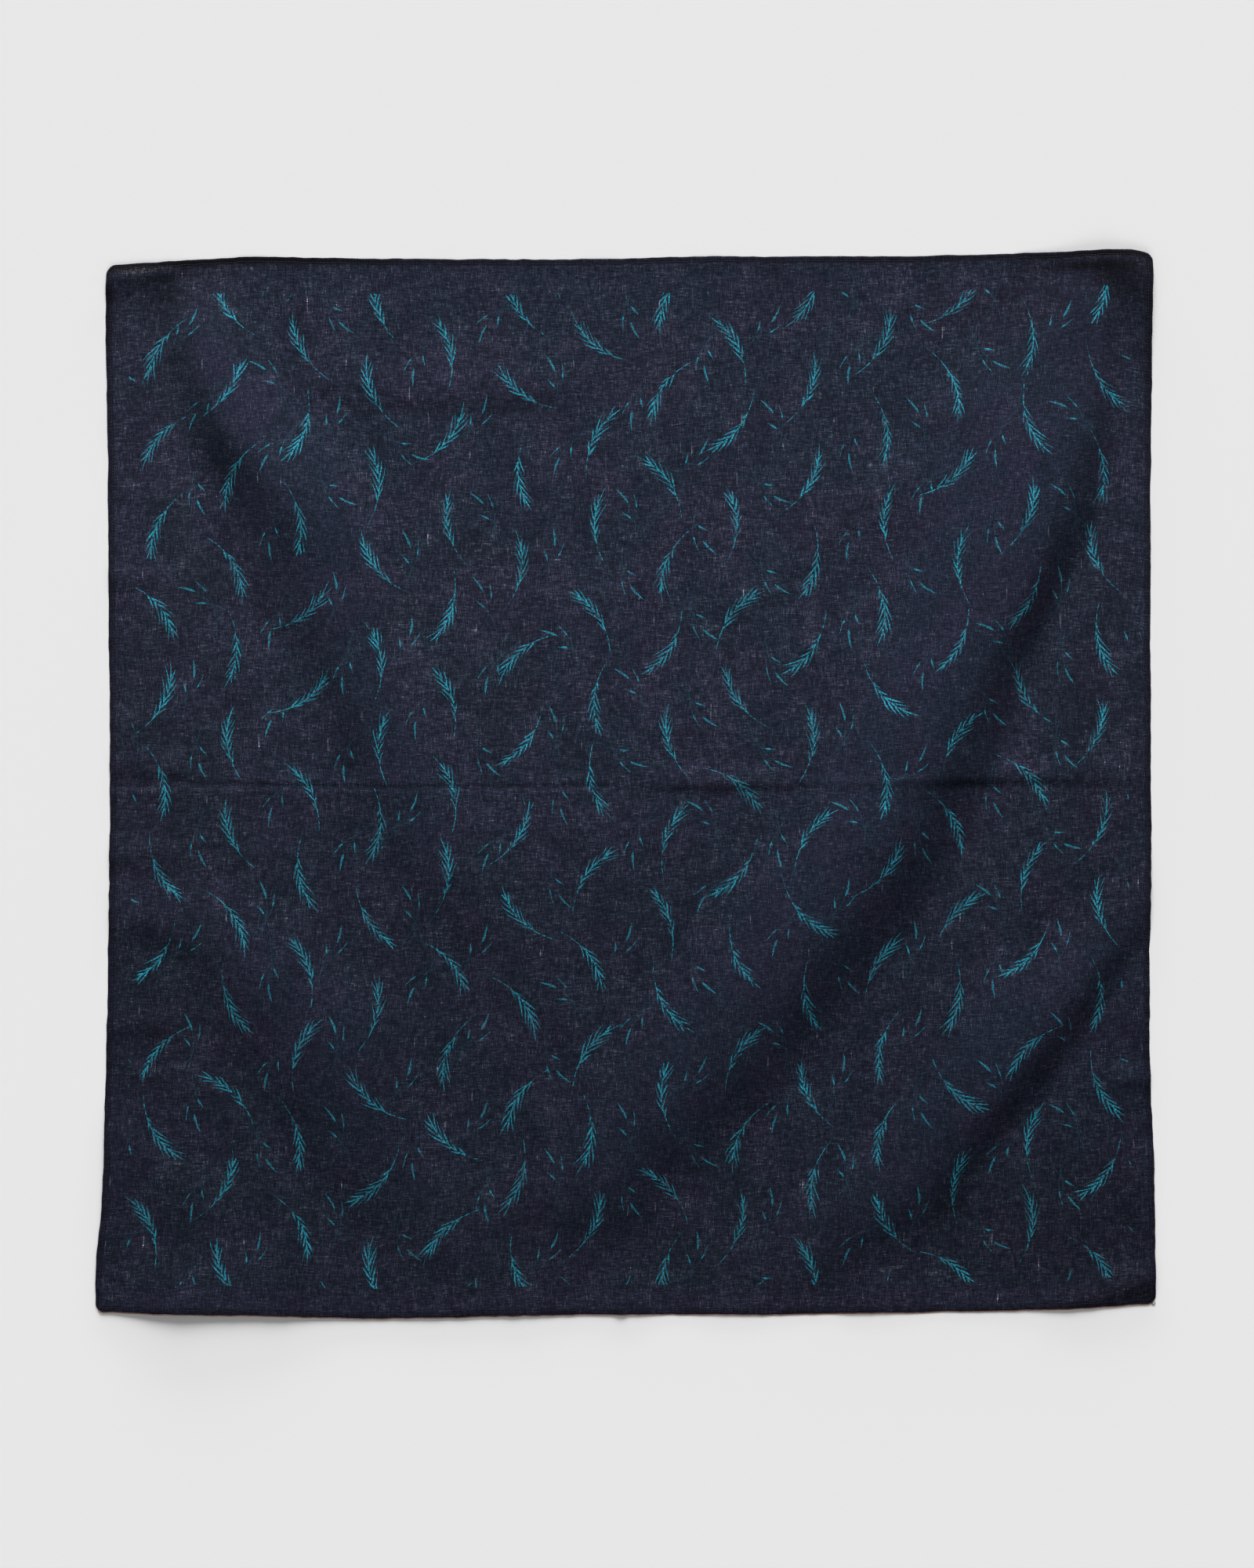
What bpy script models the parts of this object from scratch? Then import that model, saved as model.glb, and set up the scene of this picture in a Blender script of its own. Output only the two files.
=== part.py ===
"""A printed cotton bandana, laid face up on a flat surface.

The cloth is one closed sheet with its turned hem. Its plan is a square with gently wandering edges
and rounded corners. Its underside lies on the surface at z = 0 and lifts only along the folds, the
pressed creases and the curled edges. +Y runs to the top edge of the cloth and +Z points up.

The tables are in millimetres.
"""
import bmesh
import bpy
import numpy as np

MM = 0.001

# The cloth
HALF_SIDE = 270.0
CLOTH_THICKNESS = 1.2
CLOTH_COLOUR = (0.021, 0.023, 0.040, 1.0)
CLOTH_ROUGHNESS = 0.9

# The hem: (how far in from the edge, how much thicker than the plain cloth)
HEM = ((0.0, 0.1), (1.5, 0.6), (3.0, 0.5), (4.2, 0.0))

# The plan grid: the size of a plain cell, and the lines that are added along the pressed creases,
# each of which takes the place of a plain line that is nearer to it than the clearance.
CELL = 14.0
CROSS_CREASE_LINES = (-7.0, -4.0, -1.0, 1.0, 4.2, 8.6)
UPRIGHT_CREASE_LINES = (-7.0, -1.5, 4.0)
LINE_CLEARANCE = 4.2

# Where a cell's middle stands this far off the mean of its corners, or its corners differ this much
# in height, each of its sides that is longer than a fine one is halved.
CELL_BEND = 0.4
CELL_RISE = 4.5
FINE_SIDE = 9.0

# Each edge: (how far along it, how far out from the middle)
EDGES = {
    "left": ((-270, 270.7), (-256, 271.0), (-236, 269.7), (-212, 267.4), (-160, 266.0), (-80, 264.4),
             (0, 263.6), (90, 264.3), (180, 264.8), (240, 265.8), (270, 265.6)),
    "right": ((-270, 269.6), (-240, 269.7), (-208, 269.2), (-176, 268.1), (-140, 266.8), (-80, 266.9),
              (-30, 267.6), (40, 267.2), (150, 267.2), (200, 267.9), (246, 267.9), (270, 268.1)),
    "bottom": ((-270, 269.4), (-240, 270.2), (-176, 271.6), (-128, 272.8), (-80, 272.0), (-16, 270.8),
               (64, 270.9), (128, 270.0), (192, 268.8), (240, 267.2), (270, 265.2)),
    "top": ((-270, 263.7), (-240, 266.1), (-192, 268.4), (-128, 267.6), (-30, 267.3), (40, 268.6),
            (144, 268.9), (200, 270.3), (240, 271.4), (256, 271.8), (264, 270.9), (270, 269.6)),
}

# Corners: (side across, side up, radius)
CORNERS = ((-1, 1, 5.2), (1, 1, 3.4), (-1, -1, 4.2), (1, -1, 4.2))

# Folds and pressed creases. Each has the side of its steep flank, 1 where it lies to the right of
# someone who walks the crest from the first row on and -1 where it lies to the left, and its crest
# line: (x, y, height, reach of the gentle flank, reach of the steep flank)
FOLDS = {
    "right": (1, (
        (-46, -248, 0.0, 44, 30), (-22, -215, 3.8, 50, 34), (14, -174, 6.4, 54, 39),
        (47, -141, 8.0, 56, 43), (78, -106, 9.8, 58, 40), (109, -66, 12.0, 58, 38),
        (132, -30, 12.6, 58, 40), (156, 18, 14.0, 62, 39), (179, 62, 13.6, 72, 32),
        (202, 104, 14.0, 90, 25), (219, 152, 13.2, 96, 29), (233, 197, 10.2, 84, 23),
        (239, 232, 6.4, 56, 18), (243, 268, 2.2, 30, 13))),
    "left": (-1, (
        (-84, -96, 0.0, 44, 26), (-98, -50, 2.2, 48, 26), (-112, -18, 3.6, 50, 25),
        (-131, 28, 5.2, 50, 26), (-145, 73, 6.4, 48, 28), (-159, 116, 8.2, 46, 29),
        (-179, 152, 10.4, 45, 31), (-206, 190, 9.2, 43, 24), (-221, 228, 5.8, 36, 18),
        (-232, 262, 0.0, 24, 12))),
    "left, outer": (-1, (
        (-166, 62, 0.0, 20, 14), (-175, 90, 2.4, 22, 16), (-187, 116, 2.8, 22, 16),
        (-200, 140, 1.2, 22, 16), (-212, 162, 0.0, 20, 14))),
    "lower right": (1, (
        (50, -264, 0.0, 28, 20), (84, -247, 1.8, 36, 26), (116, -226, 4.2, 42, 29),
        (149, -204, 6.2, 48, 28), (175, -172, 8.2, 50, 24), (200, -142, 9.6, 48, 22),
        (224, -110, 8.4, 38, 20), (244, -85, 5.0, 34, 17), (267, -60, 2.4, 30, 14))),
    "lower left": (-1, (
        (-62, -268, 0.0, 40, 26), (-92, -240, 1.8, 48, 26), (-120, -209, 3.2, 52, 27),
        (-141, -178, 5.0, 60, 38), (-153, -142, 6.6, 58, 50), (-180, -112, 5.4, 54, 40),
        (-209, -84, 3.7, 42, 25), (-240, -72, 2.2, 26, 15), (-272, -70, 1.3, 18, 13))),
    "lower left corner": (-1, (
        (-208, -246, 0.0, 28, 30), (-224, -224, 0.7, 28, 36), (-238, -204, 1.3, 24, 38),
        (-255, -186, 1.5, 20, 38), (-274, -176, 1.2, 18, 36))),
    "middle": (1, (
        (-150, -32, 0.0, 26, 34), (-96, -29, 0.9, 28, 42), (-20, -28, 1.0, 28, 44),
        (50, -27, 0.8, 28, 42), (92, -30, 0.0, 26, 34))),
    "left ripple, upper": (-1, (
        (-226, 103, 0.0, 12, 8), (-244, 104, 1.0, 12, 8), (-270, 104, 1.4, 12, 8))),
    "left ripple, middle": (-1, (
        (-214, -34, 0.0, 14, 9), (-240, -36, 1.0, 14, 9), (-272, -38, 1.4, 14, 9))),
    "left ripple, lower": (-1, (
        (-222, -122, 0.0, 12, 9), (-242, -123, 1.5, 13, 9), (-256, -124, 0.8, 12, 9),
        (-274, -125, 0.4, 12, 9))),
    "left ripple, lowest": (-1, (
        (-202, -157, 0.0, 14, 8), (-222, -155, 0.9, 14, 8), (-246, -149, 0.9, 14, 8),
        (-260, -148, 0.0, 12, 8))),
    "right ripple": (1, (
        (236, -150, 0.0, 12, 7), (254, -151, 1.3, 12, 7), (272, -152, 1.6, 12, 7))),
    "top left corner": (-1, (
        (-212, 271, 0.0, 14, 8), (-236, 262, 1.4, 16, 10), (-256, 257, 2.2, 18, 11),
        (-274, 254, 2.4, 18, 12))),
    "top right corner": (1, (
        (190, 276, 0.0, 14, 10), (226, 270, 1.2, 16, 14), (252, 265, 2.6, 18, 18),
        (262, 254, 2.6, 18, 18), (266, 226, 1.4, 14, 14), (268, 196, 0.0, 10, 10))),
    "lower right corner": (1, (
        (205, -270, 0.0, 12, 7), (230, -263, 1.2, 13, 8), (250, -257, 1.8, 14, 10),
        (274, -250, 1.8, 14, 12))),
    "upper dip": (1, (
        (-176, 208, 0.0, 20, 12), (-140, 203, 1.0, 24, 14), (-90, 199, 1.2, 24, 14),
        (-40, 201, 0.8, 22, 12), (-16, 204, 0.0, 20, 12))),
    "upper right dip": (1, (
        (130, 184, 0.0, 16, 12), (164, 188, 1.1, 20, 13), (200, 196, 0.0, 18, 12))),
    "slanting dip": (1, (
        (34, 78, 0.0, 18, 14), (64, 96, 0.8, 22, 14), (104, 128, 1.0, 24, 14), (134, 152, 0.8, 20, 13),
        (150, 166, 0.0, 18, 12))),
    "lower middle": (-1, (
        (-20, -160, 0.0, 22, 16), (-34, -122, 1.1, 26, 16), (-48, -84, 1.2, 24, 16),
        (-58, -48, 0.0, 22, 14))),
    "lower middle, left": (-1, (
        (-98, -170, 0.0, 20, 16), (-104, -130, 1.2, 24, 18), (-108, -96, 1.2, 24, 18),
        (-104, -70, 0.0, 20, 16))),
    "cross crease": (1, (
        (4, 0.6, 0.0, 12, 5.0), (20, 0.4, 0.9, 14, 5.6), (36, 0.2, 1.4, 14, 6.0), (58, 0.4, 1.3, 13, 6.0),
        (82, 0.8, 0.7, 8, 5.4), (98, 1.4, 0.55, 3.6, 5.6), (150, 1.8, 0.55, 3.6, 5.6),
        (166, 3.6, 1.3, 22, 6.6), (184, 3.8, 1.4, 22, 6.6), (196, 3.8, 1.3, 12, 6.4),
        (214, 3.6, 1.1, 12, 6.2), (228, 3.5, 0.9, 20, 6.0), (250, 3.4, 0.8, 20, 6.0),
        (262, 3.4, 0.0, 16, 6.0))),
    "cross crease, upper lip": (1, (
        (-274, 8.8, 0.8, 14, 9.4), (-234, 8.4, 1.1, 14, 9.2), (-216, 3.0, 0.6, 10, 4.6),
        (-170, 0.8, 0.6, 10, 2.8), (-100, 0.4, 0.45, 10, 3.4), (-24, 0.8, 0.45, 9, 2.6),
        (8, 1.0, 0.0, 8, 2.6))),
    "cross crease, lower lip": (-1, (
        (-274, -4.0, 0.5, 12, 3.0), (-234, -4.0, 0.6, 12, 3.0), (-170, -3.8, 0.5, 12, 2.2),
        (-100, -5.0, 0.4, 12, 3.4), (-24, -3.8, 0.35, 10, 2.2), (8, -3.6, 0.0, 10, 2.2))),
    "upright crease": (-1, (
        (-3, -274, 0.7, 5, 5), (-2, -180, 0.7, 5, 5), (-3, -90, 0.6, 5, 5), (-1, 0, 0.6, 5, 5),
        (0, 90, 0.6, 5, 5), (2, 160, 0.4, 5, 5), (2, 210, 0.0, 5, 5))),
}
FOLD_SAMPLES = 120
EDGE_SAMPLES = 400

# Edges that curl off the surface: how far in the curl reaches, and (how far along the edge, lift)
CURLS = {
    "bottom": (46.0, (
        (-272, 0.4), (-262, 0.9), (-250, 1.9), (-238, 2.9), (-226, 3.4), (-206, 3.0), (-186, 2.3),
        (-160, 1.4), (-128, 0.8), (-80, 0.9), (-40, 0.7), (0, 0.3), (40, 0.2), (150, 0.2), (190, 0.4),
        (216, 0.7), (234, 0.8), (252, 0.5), (270, 0.2))),
    "left": (32.0, ((-272, 0.1), (-256, 0.8), (-236, 1.6), (-205, 1.7), (-165, 0.8), (-130, 0.0),
                    (272, 0.0))),
    "right": (24.0, ((-272, 0.0), (-240, 0.6), (-190, 0.4), (-150, 0.0), (272, 0.0))),
    "top": (60.0, ((-272, 0.0), (150, 0.0), (200, 0.6), (238, 1.6), (272, 2.4))),
}

# The weight of the cloth presses the lowest of each fold flat
PRESSED_FLAT = 0.1

# Faces that meet at less than this angle, in degrees, are shaded as one smooth surface
SMOOTH_ANGLE = 40.0


def smooth_line(rows, samples):
    """Carry the rows of a table through a Catmull-Rom curve, at even steps of the row number. The
    first two columns run straight on past the ends, and the others level off there."""
    rows = np.array(rows, dtype=float)
    before_first = rows[1].copy()
    after_last = rows[-2].copy()
    before_first[:2] = 2 * rows[0, :2] - rows[1, :2]
    after_last[:2] = 2 * rows[-1, :2] - rows[-2, :2]
    knots = np.vstack((before_first, rows, after_last))
    place = np.linspace(0.0, len(rows) - 1.0, samples)
    first = np.minimum(place.astype(int), len(rows) - 2)
    t = (place - first)[:, None]
    before, start, stop, after = (knots[first + step] for step in range(4))
    slope_in = 0.5 * (stop - before)
    slope_out = 0.5 * (after - start)
    rise = stop - start
    bend = 3 * rise - 2 * slope_in - slope_out
    return start + t * (slope_in + t * (bend + t * (slope_in + slope_out - 2 * rise)))


def value_along(table, along):
    """The second column of a table at each place along its first, on its smooth curve."""
    curve = smooth_line(table, EDGE_SAMPLES)
    return np.interp(along, curve[:, 0], curve[:, 1])


def half_wave(share):
    """1 at a share of 0, falling in half a cosine wave to 0 at a share of 1 and beyond."""
    return 0.5 + 0.5 * np.cos(np.pi * np.clip(share, 0.0, 1.0))


def fold_height(x, y, steep_side, rows):
    """Height of one fold. Each point looks to the nearest place on the crest line, and the height
    there falls off in half a cosine wave over the reach of the flank that the point is on."""
    line = smooth_line(rows, FOLD_SAMPLES)
    along = np.gradient(line[:, :2], axis=0)
    spacing = np.linalg.norm(along, axis=1)
    along /= spacing[:, None]
    apart = (x[:, None] - line[:, 0]) ** 2 + (y[:, None] - line[:, 1]) ** 2
    nearest = np.argmin(apart, axis=1)
    past_x = x - line[nearest, 0]
    past_y = y - line[nearest, 1]
    run = (past_x * along[nearest, 0] + past_y * along[nearest, 1]) / spacing[nearest]
    place = nearest + np.clip(run, -1.0, 1.0)
    height, gentle, steep = (np.interp(place, np.arange(FOLD_SAMPLES), size) for size in line[:, 2:].T)
    offset = past_x * along[nearest, 1] - past_y * along[nearest, 0]
    reach = np.where(offset * steep_side > 0, steep, gentle)
    return np.maximum(height, 0.0) * half_wave(np.abs(offset) / reach)


def curl_height(x, y):
    """Height of the curled edges: the lift at the edge, falling off inwards in half a cosine wave."""
    inwards = {
        "bottom": (x, y + value_along(EDGES["bottom"], x)),
        "left": (y, x + value_along(EDGES["left"], y)),
        "right": (y, value_along(EDGES["right"], y) - x),
        "top": (x, value_along(EDGES["top"], x) - y),
    }
    height = np.zeros_like(x)
    for edge, (reach, lift) in CURLS.items():
        along, inward = inwards[edge]
        height += np.maximum(value_along(lift, along), 0.0) * half_wave(inward / reach)
    return height


def underside_height(x, y):
    """How far the underside stands off the surface."""
    height = curl_height(x, y)
    for steep_side, rows in FOLDS.values():
        height += fold_height(x, y, steep_side, rows)
    return np.maximum(height - PRESSED_FLAT, 0.0)


def grid_lines(extra_lines):
    """Places from -1 to 1 of the grid lines: those of the hem, even cells between them, and more."""
    hem_lines = np.array([inward for inward, extra in HEM])
    inner = HALF_SIDE - hem_lines[-1]
    even_lines = np.linspace(-inner, inner, round(2 * inner / CELL) + 1)
    clear = [line for line in even_lines if np.abs(line - np.array(extra_lines)).min() > LINE_CLEARANCE]
    rim = HALF_SIDE - hem_lines[:-1]
    return np.array(sorted([*-rim, *rim, *clear, *extra_lines])) / HALF_SIDE


def plan_point(u, v):
    """Carry the square from -1 to 1 to the outline of the cloth: each grid line runs evenly from
    edge to edge, and near a corner the squares round it become arcs about the corner's centre."""
    left, right = (value_along(EDGES[edge], HALF_SIDE * v) for edge in ("left", "right"))
    bottom, top = (value_along(EDGES[edge], HALF_SIDE * u) for edge in ("bottom", "top"))
    x = 0.5 * (right - left) + 0.5 * (right + left) * u
    y = 0.5 * (top - bottom) + 0.5 * (top + bottom) * v
    for side_across, side_up, radius in CORNERS:
        across = np.clip(radius - HALF_SIDE * (1 - side_across * u), 0.0, radius)
        up = np.clip(radius - HALF_SIDE * (1 - side_up * v), 0.0, radius)
        outermost = np.maximum(across, up)
        pull = 1 - outermost / np.where(outermost > 0, np.hypot(across, up), 1.0)
        x = x - side_across * across * pull
        y = y - side_up * up * pull
    return x, y


def thickness(u, v):
    """Thickness of the sheet: plain cloth, and the hem's own profile near the edge."""
    inward = HALF_SIDE * (1 - np.maximum(np.abs(u), np.abs(v)))
    hem_inward, hem_extra = np.array(HEM).T
    return CLOTH_THICKNESS + np.interp(inward, hem_inward, hem_extra)


def halve_bent_cells(sheet):
    """Halve the long sides of the cells that bend or rise much, in the plan from -1 to 1."""
    sheet.verts.index_update()
    sheet.edges.index_update()
    places = np.array([corner.co.xy for corner in sheet.verts])
    quads = np.array([[corner.index for corner in cell.verts] for cell in sheet.faces])
    heights = underside_height(*plan_point(*places.T))[quads]
    middles = underside_height(*plan_point(*places[quads].mean(axis=1).T))
    bent = (np.abs(middles - heights.mean(axis=1)) > CELL_BEND) | (np.ptp(heights, axis=1) > CELL_RISE)
    around = {side.index for cell, is_bent in zip(sheet.faces, bent) if is_bent for side in cell.edges}
    long_sides = [side for side in sheet.edges if side.calc_length() * HALF_SIDE > FINE_SIDE]
    halved = [side for side in long_sides if side.index in around]
    bmesh.ops.subdivide_edges(sheet, edges=halved, cuts=1, use_grid_fill=True)


def cloth_mesh():
    """A square grid, finer at the folds, carried to the outline and to the folds of the underside.
    Its faces are cut along their more level diagonal, so that edges follow the crests, and then the
    sheet is extruded up to its thickness."""
    columns = grid_lines(UPRIGHT_CREASE_LINES)
    rows = grid_lines(CROSS_CREASE_LINES)
    sheet = bmesh.new()
    bmesh.ops.create_grid(sheet, x_segments=len(columns) - 1, y_segments=len(rows) - 1, size=1.0)
    for corner in sheet.verts:
        corner.co.x = columns[round((corner.co.x + 1) * (len(columns) - 1) / 2)]
        corner.co.y = rows[round((corner.co.y + 1) * (len(rows) - 1) / 2)]
    halve_bent_cells(sheet)
    u, v = np.array([corner.co.xy for corner in sheet.verts]).T
    x, y = plan_point(u, v)
    z = underside_height(x, y)
    x = x - 0.5 * (x.max() + x.min())
    y = y - 0.5 * (y.max() + y.min())
    for corner, place in zip(sheet.verts, np.column_stack((x, y, z)) * MM):
        corner.co = place
    bmesh.ops.triangulate(sheet, faces=sheet.faces[:], quad_method="SHORT_EDGE")
    rises = {corner.co.to_tuple(): rise for corner, rise in zip(sheet.verts, thickness(u, v) * MM)}
    upper = bmesh.ops.extrude_face_region(sheet, geom=sheet.faces[:], use_keep_orig=True)
    for corner in upper["geom"]:
        if isinstance(corner, bmesh.types.BMVert):
            corner.co.z += rises[corner.co.to_tuple()]
    bmesh.ops.recalc_face_normals(sheet, faces=sheet.faces[:])
    mesh = bpy.data.meshes.new("bandana")
    sheet.to_mesh(mesh)
    sheet.free()
    return mesh


def cotton():
    """Navy plain-woven cotton."""
    material = bpy.data.materials.new("navy cotton")
    material.use_nodes = True
    surface = material.node_tree.nodes["Principled BSDF"]
    surface.inputs["Base Color"].default_value = CLOTH_COLOUR
    surface.inputs["Roughness"].default_value = CLOTH_ROUGHNESS
    surface.inputs["Metallic"].default_value = 0.0
    return material


def build():
    for thing in list(bpy.data.objects):
        bpy.data.objects.remove(thing)
    bandana = bpy.data.objects.new("bandana", cloth_mesh())
    bandana.data.materials.append(cotton())
    bandana.data.shade_smooth()
    bandana.data.set_sharp_from_angle(angle=np.radians(SMOOTH_ANGLE))
    bpy.context.scene.collection.objects.link(bandana)


build()
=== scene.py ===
"""A printed cotton bandana, laid face up on a pale floor.

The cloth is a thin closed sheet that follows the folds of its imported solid. Its narrow hem is
turned under and stitched down, and its face is printed with tossed willow sprigs. +Y runs to the top
edge of the cloth and +Z points up, out of the printed face. The tables are in millimetres.
"""

import bpy
import numpy as np
from bpy.props import FloatProperty, FloatVectorProperty, PointerProperty
from mathutils import Matrix, Vector


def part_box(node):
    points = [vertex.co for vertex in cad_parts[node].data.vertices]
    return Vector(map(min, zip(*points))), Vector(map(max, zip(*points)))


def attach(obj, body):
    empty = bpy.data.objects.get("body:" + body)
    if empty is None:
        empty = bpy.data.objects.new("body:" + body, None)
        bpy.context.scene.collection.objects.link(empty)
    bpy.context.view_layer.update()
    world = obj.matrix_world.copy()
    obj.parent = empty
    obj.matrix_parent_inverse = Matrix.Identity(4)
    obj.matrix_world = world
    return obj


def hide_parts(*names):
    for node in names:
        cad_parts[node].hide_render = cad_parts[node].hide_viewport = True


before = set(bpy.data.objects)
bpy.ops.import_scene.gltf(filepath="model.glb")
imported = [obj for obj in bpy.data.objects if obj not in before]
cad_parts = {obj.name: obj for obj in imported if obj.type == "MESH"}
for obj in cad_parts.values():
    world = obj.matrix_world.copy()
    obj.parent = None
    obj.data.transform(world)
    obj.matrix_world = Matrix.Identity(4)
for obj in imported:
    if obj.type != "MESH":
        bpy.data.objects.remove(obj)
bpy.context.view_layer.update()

bl_info = {
    "name": "Printed cotton bandana",
    "version": (1, 0, 0),
    "blender": (4, 5, 0),
    "location": "3D View > Sidebar > Bandana",
    "description": "Makes the printed cloth, its hem stitches and the stage that it lies on",
    "category": "Add Mesh",
}

MM = 0.001

# Half a side of the flat square that the tables and the print are laid out on
HALF_SIDE = 270.0

# Each edge: (how far along it, how far out from the middle)
EDGES = {
    "left": ((-270, 270.7), (-256, 271.0), (-236, 269.7), (-212, 267.4), (-160, 266.0), (-80, 264.4),
             (0, 263.6), (90, 264.3), (180, 264.8), (240, 265.8), (270, 265.6)),
    "right": ((-270, 269.6), (-240, 269.7), (-208, 269.2), (-176, 268.1), (-140, 266.8), (-80, 266.9),
              (-30, 267.6), (40, 267.2), (150, 267.2), (200, 267.9), (246, 267.9), (270, 268.1)),
    "bottom": ((-270, 269.4), (-240, 270.2), (-176, 271.6), (-128, 272.8), (-80, 272.0), (-16, 270.8),
               (64, 270.9), (128, 270.0), (192, 268.8), (240, 267.2), (270, 265.2)),
    "top": ((-270, 263.7), (-240, 266.1), (-192, 268.4), (-128, 267.6), (-30, 267.3), (40, 268.6),
            (144, 268.9), (200, 270.3), (240, 271.4), (256, 271.8), (264, 270.9), (270, 269.6)),
}

# Corners: (side across, side up, radius)
CORNERS = ((-1, 1, 5.2), (1, 1, 3.4), (-1, -1, 4.2), (1, -1, 4.2))

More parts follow.
